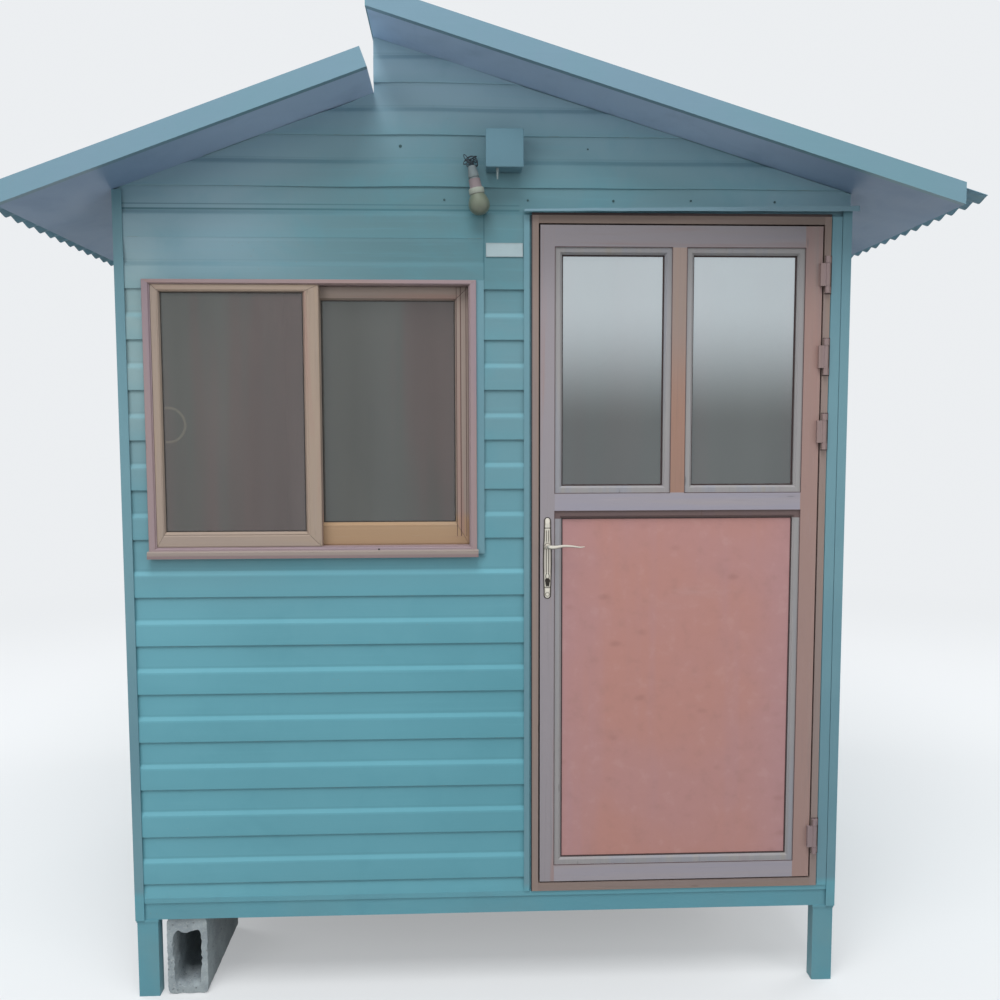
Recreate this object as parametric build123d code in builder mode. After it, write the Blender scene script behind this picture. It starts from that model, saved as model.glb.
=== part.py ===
# Portable site cabin: a small clad hut on four short steel legs, with a roof in two levels,
# a sliding window beside a glazed door, a lamp and a junction box over them.
# Millimetres, +Z up, the front faces -Y, origin on the ground at the middle of the plan.

from build123d import *
from math import atan, cos, pi, radians, sin
import os

os.makedirs("parts", exist_ok=True)

# Cabin body
cabin_width = 2206
cabin_depth = 2400
wall_thickness = 60
leg_height = 250
leg_width = 64
leg_depth = 42
leg_wall = 4
leg_plate = 8
leg_plate_edge = 2
beam_height = 70
beam_width = 75
beam_setback = 4
joist_width = 50
joist_count = 3
floor_thickness = 18

# Hollow block under the front beam
block_width = 128
block_length = 400
block_wall = 22
block_foot = 26
block_head = 46
block_edge = 6
block_leg_gap = 22
block_setback = 6

# Roof: the right part is the higher one, and both fall away from the step
step_x = -336
step_height = 160
eave_above_door = 70.5
right_slope = 0.3068
left_slope = 0.372
front_overhang = 200
side_overhang = 248
sheet_overhang = 82
deck_thickness = 40
fascia_height = 61
fascia_thickness = 20
wave_pitch = 76
wave_depth = 16
wave_facets = 6
sheet_thickness = 2
sheet_rest = 0.2
step_wall_thickness = 50
step_flashing_thickness = 3
step_flashing_foot = 60

# Trims of bent sheet
trim_thickness = 3
corner_trim_leg = 28
foot_strip_height = 16
door_trim_width = 17
door_trim_gap = 7
jamb_board_width = 30
jamb_board_gap = 3
drip_above_door = 40
drip_height = 14
drip_past_corner = 16
drip_kick = 26
drip_kick_fall = 20
drip_kick_fall_right = 3

# Window: fixed frame with two sashes in two tracks
window_corner_pier = 76
window_door_pier = 168
window_below_door_head = 194
window_height = 826
window_proud = 10
window_side_face = 23
window_head_face = 14
window_foot_face = 25
window_trim_width = 23
sill_overhang = 4
sill_below_frame = 9
sill_above_frame = 14
sill_fall = 4
sill_proud = 18
sash_thickness = 28
sash_gap = 4
sash_setback = 6
sash_overlap = 48
sash_stile = 26
meeting_stile = 48
left_sash_top_rail = 22
left_sash_bottom_rail = 46
right_sash_stile = 42
right_sash_top_rail = 41
right_sash_bottom_rail = 70
sash_chamfer = 5
glass_thickness = 5
pull_rod = 8
pull_reach = 62
pull_height = 104
pull_above_window_foot = 395
pull_corner = 28

# Door frame and leaf
door_frame_face = 20.5
door_frame_head = 24
door_frame_sill = 26
door_proud = 4
door_gap = 5
stop_overlap = 5
leaf_width = 860
leaf_height = 2037
leaf_thickness = 45
left_stile = 45
right_stile = 53
top_rail = 65
middle_rail = 56
bottom_rail = 54
middle_rail_height = 1175
mullion_width = 46
mullion_offset = 7.5
bead_width = 21
bead_setback = 3
bead_chamfer = 6
door_glass_thickness = 6
door_panel_thickness = 20
pane_edge = 4

# Hinges of the door
upper_hinge_drops = (145, 392, 620)
lower_hinge_rise = 134
hinge_length = 110
hinge_radius = 7
hinge_pin_radius = 3.5
hinge_pin_clearance = 0.3
hinge_knuckle = 20
hinge_knuckle_gap = 1
hinge_stand_off = 8
hinge_past_leaf = 13
hinge_plate = 3
hinge_plate_edge = 4
hinge_leaf_plate = 9
hinge_leaf_edge = 2
hinge_arm = 6

# Lever handle
handle_below_rail = 106
handle_plate_above = 88
handle_plate_below = 165
handle_plate_width = 25
handle_plate_end = 20
handle_plate_thickness = 7
handle_plate_round = 3
hub_radius = 9
hub_clearance = 0.3
hub_round = 3
spindle_radius = 5
spindle_clearance = 0.5
lever_stand_off = 38
lever_length = 112
lever_bend = 45
lever_rise = 4
lever_sides = 8
lever_root = (17, 12)
lever_middle = (12, 8.5)
lever_tip = (7, 5)
lock_below_handle = 108
lock_radius = 8
lock_tail = 5
lock_depth = 16
lock_proud = 2
lock_clearance = 0.3

# Junction box, lamp and number plate
box_from_door = 31
box_width = 107
box_above_door = 120
box_height = 108
box_depth = 66
lid_depth = 8
lid_edge = 2
box_corner = 6
stub_from_side = 33
stub_radius = 5
stub_length = 30
stub_from_wall = 54
hook_from_box = 47
hook_above_box_foot = 38
hook_reach = 34
hook_drop = 26
hook_rod = 5
hook_rod_sides = 8
hook_bend = 12
hook_washer_radius = 14
hook_washer = 3
lamp_tilt = 11
lamp_sides = 20
holder_length = 72
holder_radius = 18
holder_neck = 9
holder_shoulder = 16
holder_collar = 9
holder_collar_edge = 3
bulb_length = 74
bulb_radius = 33
bulb_neck = 19
bulb_flare = 30
bulb_foot_steps = ((9, 18), (12, 11))
number_plate_width = 111
number_plate_below_door_head = 124
number_plate_height = 41
number_plate_thickness = 2

# Places worked out from the sizes above
half_width = cabin_width / 2
half_depth = cabin_depth / 2
front_y = -half_depth
inner_x = half_width - wall_thickness
inner_y = half_depth - wall_thickness
beam_x = half_width
beam_y = half_depth - beam_setback
base_top_z = leg_height + beam_height
roof_half_depth = half_depth + front_overhang
fascia_inner_y = roof_half_depth - fascia_thickness

door_opening = leaf_width + 2 * door_gap
door_frame_right = inner_x
door_frame_left = door_frame_right - door_opening - 2 * door_frame_face
leaf_left = door_frame_left + door_frame_face + door_gap
leaf_right = leaf_left + leaf_width
leaf_bottom_z = base_top_z + door_frame_sill + door_gap
leaf_top_z = leaf_bottom_z + leaf_height
door_top_z = leaf_top_z + door_gap + door_frame_head
leaf_front_y = front_y - door_proud
leaf_back_y = leaf_front_y + leaf_thickness
stop_front_y = leaf_back_y + door_gap

middle_rail_z = leaf_bottom_z + middle_rail_height
handle_x = leaf_left + left_stile / 2
handle_z = middle_rail_z - handle_below_rail
lock_z = handle_z - lock_below_handle

window_left = -half_width + window_corner_pier
window_right = door_frame_left - window_door_pier
window_top_z = door_top_z - window_below_door_head
window_bottom_z = window_top_z - window_height

roof_reach = half_width + side_overhang
sheet_reach = roof_reach + sheet_overhang
right_underside_z = door_top_z + eave_above_door + right_slope * (half_width - step_x)
left_underside_z = right_underside_z - step_height


def right_underside(x):
    """Height of the higher roof's underside at a place across the cabin."""
    return right_underside_z - right_slope * (x - step_x)


def left_underside(x):
    """Height of the lower roof's underside at a place across the cabin."""
    return left_underside_z - left_slope * (step_x - x)


def square_end(rise):
    """Point at the step of a layer's top on the lower roof: the end is cut square to the slope."""
    lean = atan(left_slope)
    return step_x - rise * cos(lean) * sin(lean), left_underside_z + rise * cos(lean) ** 2


def facing_front(y):
    """Upright sketch plane across the cabin, facing the front."""
    return Plane.XZ.offset(-y)


def facing_right(x):
    """Upright sketch plane along the cabin's depth, facing right."""
    return Plane.YZ.offset(x)


def rectangle_between(x0, x1, y0, y1):
    """Rectangle in the open sketch, from its four sides."""
    with Locations(((x0 + x1) / 2, (y0 + y1) / 2)):
        Rectangle(x1 - x0, y1 - y0)


def outline(*points):
    """Closed polygon in the open sketch, at the places of its points."""
    return Polygon(*points, align=None)


def oval(width, height, sides):
    """Oval of straight sides in the open sketch: its corners lie on an ellipse at even angles."""
    turns = [2 * pi * index / sides for index in range(sides)]
    outline(*[(width / 2 * cos(turn), height / 2 * sin(turn)) for turn in turns])


# Base frame: beams across the front and the back, beams along both sides, joists and the floor
with BuildPart() as cross_beams:
    with BuildSketch(Plane.XY.offset(leg_height)):
        with GridLocations(0, 2 * beam_y - beam_width, 1, 2):
            Rectangle(2 * beam_x, beam_width)
    extrude(amount=beam_height)
cross_beams.part.label = "cross_beams"
export_step(cross_beams.part, "parts/cross_beams.step")

beam_inner_y = beam_y - beam_width
with BuildPart() as side_beams:
    with BuildSketch(Plane.XY.offset(leg_height)):
        with GridLocations(2 * beam_x - beam_width, 0, 2, 1):
            Rectangle(beam_width, 2 * beam_inner_y)
    extrude(amount=beam_height)
side_beams.part.label = "side_beams"
export_step(side_beams.part, "parts/side_beams.step")

joist_spacing = 2 * (beam_x - beam_width) / (joist_count + 1)
with BuildPart() as floor_joists:
    with BuildSketch(Plane.XY.offset(leg_height)):
        with GridLocations(joist_spacing, 0, joist_count, 1):
            Rectangle(joist_width, 2 * beam_inner_y)
    extrude(amount=beam_height)
floor_joists.part.label = "floor_joists"
export_step(floor_joists.part, "parts/floor_joists.step")

with BuildPart() as floor_deck:
    with BuildSketch(Plane.XY.offset(base_top_z)):
        Rectangle(2 * inner_x, 2 * inner_y)
    extrude(amount=floor_thickness)
floor_deck.part.label = "floor_deck"
export_step(floor_deck.part, "parts/floor_deck.step")

# Four legs of square tube, each with a plate under the frame
leg_grid = GridLocations(2 * beam_x - leg_width, 2 * beam_y - leg_depth, 2, 2)
with BuildPart() as legs:
    with BuildSketch(Plane.XY):
        with leg_grid:
            Rectangle(leg_width, leg_depth)
            Rectangle(leg_width - 2 * leg_wall, leg_depth - 2 * leg_wall, mode=Mode.SUBTRACT)
    extrude(amount=leg_height - leg_plate)
    with BuildSketch(Plane.XY.offset(leg_height - leg_plate)):
        with leg_grid:
            Rectangle(leg_width + 2 * leg_plate_edge, leg_depth + 2 * leg_plate_edge)
    extrude(amount=leg_plate)
legs.part.label = "legs"
export_step(legs.part, "parts/legs.step")

# Hollow block set on its side between the ground and the front beam
block_left = leg_width - beam_x + block_leg_gap
block_right = block_left + block_width
block_front_y = -beam_y + block_setback
with BuildPart() as support_block:
    with BuildSketch(facing_front(block_front_y + block_length)):
        rectangle_between(block_left, block_right, 0, leg_height)
    extrude(amount=block_length)
    fillet(support_block.edges().filter_by(Axis.Y), block_edge)
    with BuildSketch(facing_front(block_front_y)):
        rectangle_between(
            block_left + block_wall, block_right - block_wall, block_foot, leg_height - block_head
        )
    extrude(amount=-block_length, mode=Mode.SUBTRACT)
support_block.part.label = "support_block"
export_step(support_block.part, "parts/support_block.step")

# Front wall: a panel with the window opening, a narrow panel beside the door, and the gable
with BuildPart() as front_wall_left:
    with BuildSketch(facing_front(front_y + wall_thickness)):
        rectangle_between(-half_width, door_frame_left, base_top_z, door_top_z)
        with BuildSketch(mode=Mode.PRIVATE) as window_hole:
            rectangle_between(window_left, window_right, window_bottom_z, window_top_z)
        add(window_hole.sketch, mode=Mode.SUBTRACT)
    extrude(amount=wall_thickness)
front_wall_left.part.label = "front_wall_left"
export_step(front_wall_left.part, "parts/front_wall_left.step")

with BuildPart() as front_wall_right:
    with BuildSketch(facing_front(front_y + wall_thickness)):
        rectangle_between(door_frame_right, half_width, base_top_z, door_top_z)
    extrude(amount=wall_thickness)
front_wall_right.part.label = "front_wall_right"
export_step(front_wall_right.part, "parts/front_wall_right.step")

roof_line = (
    (half_width, right_underside(half_width)),
    (step_x, right_underside_z),
    (step_x, left_underside_z),
    (-half_width, left_underside(-half_width)),
)
with BuildPart() as front_gable:
    with BuildSketch(facing_front(front_y + wall_thickness)):
        outline((-half_width, door_top_z), (half_width, door_top_z), *roof_line)
    extrude(amount=wall_thickness)
front_gable.part.label = "front_gable"
export_step(front_gable.part, "parts/front_gable.step")

with BuildPart() as back_wall:
    with BuildSketch(facing_front(half_depth)):
        outline((-half_width, base_top_z), (half_width, base_top_z), *roof_line)
    extrude(amount=wall_thickness)
back_wall.part.label = "back_wall"
export_step(back_wall.part, "parts/back_wall.step")

# Side walls, between the front and the back, with tops that follow the roof
with BuildPart() as left_wall:
    with BuildSketch(facing_front(inner_y)):
        outline(
            (-half_width, base_top_z),
            (-inner_x, base_top_z),
            (-inner_x, left_underside(-inner_x)),
            (-half_width, left_underside(-half_width)),
        )
    extrude(amount=2 * inner_y)
left_wall.part.label = "left_wall"
export_step(left_wall.part, "parts/left_wall.step")

with BuildPart() as right_wall:
    with BuildSketch(facing_front(inner_y)):
        outline(
            (inner_x, base_top_z),
            (half_width, base_top_z),
            (half_width, right_underside(half_width)),
            (inner_x, right_underside(inner_x)),
        )
    extrude(amount=2 * inner_y)
right_wall.part.label = "right_wall"
export_step(right_wall.part, "parts/right_wall.step")

# Upright wall in the step between the two roofs
step_wall_right = step_x + step_wall_thickness
with BuildPart() as step_wall:
    with BuildSketch(facing_front(inner_y)):
        outline(
            (step_x, left_underside_z),
            (step_wall_right, left_underside_z),
            (step_wall_right, right_underside(step_wall_right)),
            (step_x, right_underside_z),
        )
    extrude(amount=2 * inner_y)
step_wall.part.label = "step_wall"
export_step(step_wall.part, "parts/step_wall.step")

# Roof decks: flat slabs whose undersides are the soffits and the ceiling
with BuildPart() as right_roof_deck:
    with BuildSketch(facing_front(fascia_inner_y)):
        outline(
            (step_x, right_underside_z),
            (roof_reach, right_underside(roof_reach)),
            (roof_reach, right_underside(roof_reach) + deck_thickness),
            (step_x, right_underside_z + deck_thickness),
        )
    extrude(amount=2 * fascia_inner_y)
right_roof_deck.part.label = "right_roof_deck"
export_step(right_roof_deck.part, "parts/right_roof_deck.step")

with BuildPart() as left_roof_deck:
    with BuildSketch(facing_front(fascia_inner_y)):
        outline(
            (-roof_reach, left_underside(-roof_reach)),
            (step_x, left_underside_z),
            square_end(deck_thickness),
            (-roof_reach, left_underside(-roof_reach) + deck_thickness),
        )
    extrude(amount=2 * fascia_inner_y)
left_roof_deck.part.label = "left_roof_deck"
export_step(left_roof_deck.part, "parts/left_roof_deck.step")

# Fascia boards at the front and the back of each roof, a little higher than the sheets
with BuildPart() as fascias:
    for outer_y in (-roof_half_depth, fascia_inner_y):
        with BuildSketch(facing_front(outer_y + fascia_thickness)):
            outline(
                (step_x, right_underside_z),
                (roof_reach, right_underside(roof_reach)),
                (roof_reach, right_underside(roof_reach) + fascia_height),
                (step_x, right_underside_z + fascia_height),
            )
            outline(
                (-roof_reach, left_underside(-roof_reach)),
                (step_x, left_underside_z),
                square_end(fascia_height),
                (-roof_reach, left_underside(-roof_reach) + fascia_height),
            )
        extrude(amount=fascia_thickness)
fascias.part.label = "fascias"
export_step(fascias.part, "parts/fascias.step")


def wave_line(rise):
    """Points across the sheet, on waves that rise by half their depth times one plus a cosine."""
    facets = int(2 * fascia_inner_y / wave_pitch) * wave_facets
    step = wave_pitch / wave_facets
    return [
        (
            (index - facets / 2) * step,
            wave_depth / 2 * (1 + cos(2 * pi * index / wave_facets)) + rise,
        )
        for index in range(facets + 1)
    ]


# Corrugated sheets, with waves that run down the slope and show as a scalloped eave
sheet_height = wave_depth + sheet_thickness
sheet_rows = {
    "right_roof_sheet": (1, atan(right_slope), (step_x, right_underside_z + deck_thickness)),
    "left_roof_sheet": (-1, atan(left_slope), square_end(deck_thickness)),
}
for name, (side, pitch, (sheet_x, deck_top_z)) in sheet_rows.items():
    flat_run = sheet_reach - side * sheet_x
    sheet_plane = Plane(
        origin=(sheet_x, 0, deck_top_z + sheet_rest / cos(pitch)),
        x_dir=(0, side, 0),
        z_dir=(side * cos(pitch), 0, -sin(pitch)),
    )
    with BuildPart() as roof_sheet:
        with BuildSketch(sheet_plane):
            outline(*wave_line(0), *reversed(wave_line(sheet_thickness)))
        extrude(amount=(flat_run - sheet_height * sin(pitch)) / cos(pitch))
    roof_sheet.part.label = name
    export_step(roof_sheet.part, f"parts/{name}.step")

# Bent flashing that closes the end of the higher roof at the step
with BuildPart() as step_flashing:
    with BuildSketch(facing_front(roof_half_depth)):
        outline(
            (step_x, right_underside_z),
            (step_x, right_underside_z + fascia_height),
            (step_x + step_flashing_foot, right_underside(step_x + step_flashing_foot) + fascia_height),
            (
                step_x + step_flashing_foot,
                right_underside(step_x + step_flashing_foot) + fascia_height + step_flashing_thickness,
            ),
            (step_x - step_flashing_thickness, right_underside_z + fascia_height + step_flashing_thickness),
            (step_x - step_flashing_thickness, right_underside_z),
        )
    extrude(amount=2 * roof_half_depth)
step_flashing.part.label = "step_flashing"
export_step(step_flashing.part, "parts/step_flashing.step")

# Drip of bent sheet over the door, kicked out at its lower edge and pulled down at its left end
drip_top_z = door_top_z + drip_above_door
drip_bottom_z = drip_top_z - drip_height
drip_left = door_frame_left - door_trim_gap - door_trim_width
drip_right = half_width + drip_past_corner
with BuildPart() as door_head_drip:
    for end_x, kick_fall in ((drip_left, drip_kick_fall), (drip_right, drip_kick_fall_right)):
        with BuildSketch(facing_right(end_x)):
            outline(
                (front_y, drip_top_z),
                (front_y, drip_bottom_z),
                (front_y - drip_kick, drip_bottom_z - kick_fall),
                (front_y - drip_kick, drip_bottom_z - kick_fall + trim_thickness),
                (front_y - trim_thickness, drip_bottom_z + trim_thickness),
                (front_y - trim_thickness, drip_top_z),
            )
    loft(ruled=True)
door_head_drip.part.label = "door_head_drip"
export_step(door_head_drip.part, "parts/door_head_drip.step")

# Corner trims: angles of bent sheet up the four corners, the front right one to the drip only
left_eave_z = left_underside(-half_width - trim_thickness)
right_eave_z = right_underside(half_width + trim_thickness)
corner_rows = (
    (-1, -1, left_eave_z),
    (1, -1, drip_bottom_z - trim_thickness),
    (-1, 1, left_eave_z),
    (1, 1, right_eave_z),
)
with BuildPart() as corner_trims:
    for side_x, side_y, top_z in corner_rows:
        outer_x = side_x * (half_width + trim_thickness)
        outer_y = side_y * (half_depth + trim_thickness)
        with BuildSketch(Plane.XY.offset(leg_height)):
            outline(
                (outer_x, outer_y),
                (outer_x - side_x * corner_trim_leg, outer_y),
                (outer_x - side_x * corner_trim_leg, side_y * half_depth),
                (side_x * half_width, side_y * half_depth),
                (side_x * half_width, outer_y - side_y * corner_trim_leg),
                (outer_x, outer_y - side_y * corner_trim_leg),
            )
        extrude(amount=top_z - leg_height)
corner_trims.part.label = "corner_trims"
export_step(corner_trims.part, "parts/corner_trims.step")

# Flat trims: a strip left of the door, a board right of it, a strip right of the window and a
# strip along the front beam that brings it out to the wall
jamb_board_left = door_frame_right + jamb_board_gap
foot_strip_reach = half_width + trim_thickness - corner_trim_leg
with BuildPart() as side_trims:
    with BuildSketch(facing_front(front_y)):
        rectangle_between(drip_left, drip_left + door_trim_width, base_top_z, door_top_z)
        rectangle_between(
            jamb_board_left, jamb_board_left + jamb_board_width, base_top_z, door_top_z
        )
        rectangle_between(
            window_right, window_right + window_trim_width, window_bottom_z, window_top_z
        )
    extrude(amount=trim_thickness)
    with BuildSketch(facing_front(-beam_y)):
        rectangle_between(
            -foot_strip_reach, foot_strip_reach, base_top_z - foot_strip_height, base_top_z
        )
    extrude(amount=beam_setback)
side_trims.part.label = "side_trims"
export_step(side_trims.part, "parts/side_trims.step")

# Window frame: a ring in the wall opening, with a sill below it
window_frame_depth = wall_thickness + window_proud
frame_inner_left = window_left + window_side_face
frame_inner_right = window_right - window_side_face
frame_inner_bottom = window_bottom_z + window_foot_face
frame_inner_top = window_top_z - window_head_face
with BuildPart() as window_frame:
    with BuildSketch(facing_front(-inner_y)):
        rectangle_between(window_left, window_right, window_bottom_z, window_top_z)
        with BuildSketch(mode=Mode.PRIVATE) as window_daylight:
            rectangle_between(
                frame_inner_left, frame_inner_right, frame_inner_bottom, frame_inner_top
            )
        add(window_daylight.sketch, mode=Mode.SUBTRACT)
    extrude(amount=window_frame_depth)
window_frame.part.label = "window_frame"
export_step(window_frame.part, "parts/window_frame.step")

with BuildPart() as window_sill:
    with BuildSketch(facing_right(window_left - sill_overhang)):
        outline(
            (front_y, window_bottom_z),
            (front_y, window_bottom_z - sill_below_frame),
            (front_y - sill_proud, window_bottom_z - sill_below_frame),
            (front_y - sill_proud, window_bottom_z + sill_above_frame - sill_fall),
            (front_y - window_proud, window_bottom_z + sill_above_frame),
            (front_y - window_proud, window_bottom_z),
        )
    extrude(amount=window_right - window_left + 2 * sill_overhang)
window_sill.part.label = "window_sill"
export_step(window_sill.part, "parts/window_sill.step")

# Sashes: the left one runs in the outer track, the right one in the inner track
left_sash_back_y = front_y - window_proud + sash_setback + sash_thickness
right_sash_back_y = left_sash_back_y + sash_gap + sash_thickness
frame_middle = (frame_inner_left + frame_inner_right) / 2
sash_rows = {
    "left_sash": (
        left_sash_back_y,
        (frame_inner_left, frame_middle + sash_overlap / 2),
        (sash_stile, meeting_stile),
        (left_sash_bottom_rail, left_sash_top_rail),
    ),
    "right_sash": (
        right_sash_back_y,
        (frame_middle - sash_overlap / 2, frame_inner_right),
        (meeting_stile, right_sash_stile),
        (right_sash_bottom_rail, right_sash_top_rail),
    ),
}
sash_daylights = []
for name, (back_y, sides, stiles, rails) in sash_rows.items():
    daylight = (
        sides[0] + stiles[0],
        sides[1] - stiles[1],
        frame_inner_bottom + rails[0],
        frame_inner_top - rails[1],
    )
    sash_daylights.append((back_y - (sash_thickness - glass_thickness) / 2, daylight))
    with BuildPart() as sash:
        with BuildSketch(facing_front(back_y)):
            rectangle_between(*sides, frame_inner_bottom, frame_inner_top)
        extrude(amount=sash_thickness)
        with BuildSketch(facing_front(back_y)):
            rectangle_between(*daylight)
        extrude(amount=sash_thickness, mode=Mode.SUBTRACT)
        front_face = sash.faces().sort_by(Axis.Y)[0]
        chamfer(front_face.inner_wires().edges(), sash_chamfer)
    sash.part.label = name
    export_step(sash.part, f"parts/{name}.step")

with BuildPart() as window_glass:
    for glass_back_y, daylight in sash_daylights:
        with BuildSketch(facing_front(glass_back_y)):
            rectangle_between(*daylight)
        extrude(amount=glass_thickness)
window_glass.part.label = "window_glass"
export_step(window_glass.part, "parts/window_glass.step")

# Bow pull of square rod on the left sash, behind its glass
pull_y = left_sash_back_y - pull_rod / 2
pull_seat_x = frame_inner_left + sash_stile
pull_mid_z = window_bottom_z + pull_above_window_foot
with BuildPart() as window_pull:
    with BuildLine(facing_front(pull_y)) as pull_path:
        FilletPolyline(
            (pull_seat_x, pull_mid_z + pull_height / 2),
            (pull_seat_x + pull_reach, pull_mid_z + pull_height / 2),
            (pull_seat_x + pull_reach, pull_mid_z - pull_height / 2),
            (pull_seat_x, pull_mid_z - pull_height / 2),
            radius=pull_corner,
        )
    with BuildSketch(Plane(origin=pull_path.line @ 0, z_dir=pull_path.line % 0)):
        Rectangle(pull_rod, pull_rod)
    sweep()
window_pull.part.label = "window_pull"
export_step(window_pull.part, "parts/window_pull.step")

# Door frame: two jambs, a head and a sill, each with a stop behind the leaf
stop_left = door_frame_left + door_frame_face
stop_right = door_frame_right - door_frame_face
stop_reach = door_gap + stop_overlap
with BuildPart() as door_jambs:
    for outer_x, side in ((door_frame_left, 1), (door_frame_right, -1)):
        face_x = outer_x + side * door_frame_face
        with BuildSketch(Plane.XY.offset(base_top_z)):
            outline(
                (outer_x, leaf_front_y),
                (face_x, leaf_front_y),
                (face_x, stop_front_y),
                (face_x + side * stop_reach, stop_front_y),
                (face_x + side * stop_reach, -inner_y),
                (outer_x, -inner_y),
            )
        extrude(amount=door_top_z - base_top_z)
door_jambs.part.label = "door_jambs"
export_step(door_jambs.part, "parts/door_jambs.step")

for name, outer_z, inner_z, stop_z in (
    ("door_sill", base_top_z, base_top_z + door_frame_sill, leaf_bottom_z + stop_overlap),
    ("door_head", door_top_z, door_top_z - door_frame_head, leaf_top_z - stop_overlap),
):
    with BuildPart() as frame_bar:
        with BuildSketch(facing_front(-inner_y)):
            rectangle_between(stop_left, stop_right, min(outer_z, inner_z), max(outer_z, inner_z))
        extrude(amount=-inner_y - leaf_front_y)
        with BuildSketch(facing_front(stop_front_y)):
            rectangle_between(
                stop_left,
                stop_right,
                min(inner_z, stop_z),
                max(inner_z, stop_z),
            )
        extrude(amount=stop_front_y + inner_y)
        with BuildSketch(facing_front(stop_front_y)):
            for jamb_x, stop_side in ((stop_left, 1), (stop_right, -1)):
                with Locations((jamb_x + stop_side * stop_reach / 2, (outer_z + stop_z) / 2)):
                    Rectangle(stop_reach, abs(outer_z - stop_z))
        extrude(amount=stop_front_y + inner_y, mode=Mode.SUBTRACT)
    frame_bar.part.label = name
    export_step(frame_bar.part, f"parts/{name}.step")

# Door leaf: two stiles, three rails and a mullion
left_stile_right = leaf_left + left_stile
right_stile_left = leaf_right - right_stile
mullion_left = (leaf_left + leaf_right - mullion_width) / 2 - mullion_offset
mullion_right = mullion_left + mullion_width
bottom_rail_top_z = leaf_bottom_z + bottom_rail
middle_rail_top_z = middle_rail_z + middle_rail
top_rail_bottom_z = leaf_top_z - top_rail


def lock_outline(clearance):
    """Keyhole shape of the lock in the open sketch: a round barrel with a tail below it."""
    with Locations((handle_x, lock_z)):
        Circle(lock_radius + clearance)
    with Locations((handle_x, lock_z - lock_depth / 2)):
        Rectangle(2 * (lock_tail + clearance), lock_depth + 2 * clearance)


with BuildPart() as door_stiles:
    with BuildSketch(facing_front(leaf_back_y)):
        rectangle_between(leaf_left, left_stile_right, leaf_bottom_z, leaf_top_z)
        rectangle_between(right_stile_left, leaf_right, leaf_bottom_z, leaf_top_z)
        with BuildSketch(mode=Mode.PRIVATE) as stile_bores:
            with Locations((handle_x, handle_z)):
                Circle(spindle_radius + spindle_clearance)
            lock_outline(lock_clearance)
        add(stile_bores.sketch, mode=Mode.SUBTRACT)
    extrude(amount=leaf_thickness)
door_stiles.part.label = "door_stiles"
export_step(door_stiles.part, "parts/door_stiles.step")

with BuildPart() as door_rails:
    with BuildSketch(facing_front(leaf_back_y)):
        for rail_bottom, rail_top in (
            (leaf_bottom_z, bottom_rail_top_z),
            (middle_rail_z, middle_rail_top_z),
            (top_rail_bottom_z, leaf_top_z),
        ):
            rectangle_between(left_stile_right, right_stile_left, rail_bottom, rail_top)
    extrude(amount=leaf_thickness)
door_rails.part.label = "door_rails"
export_step(door_rails.part, "parts/door_rails.step")

with BuildPart() as door_mullion:
    with BuildSketch(facing_front(leaf_back_y)):
        rectangle_between(mullion_left, mullion_right, middle_rail_top_z, top_rail_bottom_z)
    extrude(amount=leaf_thickness)
door_mullion.part.label = "door_mullion"
export_step(door_mullion.part, "parts/door_mullion.step")

# Panes and panel, each held between a front and a back bead
leaf_middle_y = (leaf_front_y + leaf_back_y) / 2
glass_openings = (
    (left_stile_right, mullion_left, middle_rail_top_z, top_rail_bottom_z),
    (mullion_right, right_stile_left, middle_rail_top_z, top_rail_bottom_z),
)
panel_opening = (left_stile_right, right_stile_left, bottom_rail_top_z, middle_rail_z)


def shrunk(opening, margin):
    """Four sides of an opening, each moved inwards by a margin."""
    left, right, bottom, top = opening
    return left + margin, right - margin, bottom + margin, top - margin


with BuildPart() as door_glass:
    with BuildSketch(facing_front(leaf_middle_y + door_glass_thickness / 2)):
        for opening in glass_openings:
            rectangle_between(*shrunk(opening, pane_edge))
    extrude(amount=door_glass_thickness)
door_glass.part.label = "door_glass"
export_step(door_glass.part, "parts/door_glass.step")

with BuildPart() as door_panel:
    with BuildSketch(facing_front(leaf_middle_y + door_panel_thickness / 2)):
        rectangle_between(*shrunk(panel_opening, pane_edge))
    extrude(amount=door_panel_thickness)
door_panel.part.label = "door_panel"
export_step(door_panel.part, "parts/door_panel.step")

bead_rows = [(opening, door_glass_thickness) for opening in glass_openings]
bead_rows.append((panel_opening, door_panel_thickness))
with BuildPart() as door_beads:
    for outward in (-1, 1):
        for opening, thickness in bead_rows:
            seat_y = leaf_middle_y + outward * thickness / 2
            face_y = leaf_middle_y + outward * (leaf_thickness / 2 - bead_setback)
            with BuildSketch(facing_front(seat_y)):
                rectangle_between(*opening)
                with BuildSketch(mode=Mode.PRIVATE) as bead_daylight:
                    rectangle_between(*shrunk(opening, bead_width))
                add(bead_daylight.sketch, mode=Mode.SUBTRACT)
            extrude(amount=seat_y - face_y)
            bead_face = door_beads.faces(Select.LAST).sort_by(Axis.Y)[0 if outward < 0 else -1]
            chamfer(bead_face.inner_wires().edges(), bead_chamfer)
door_beads.part.label = "door_beads"
export_step(door_beads.part, "parts/door_beads.step")

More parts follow.
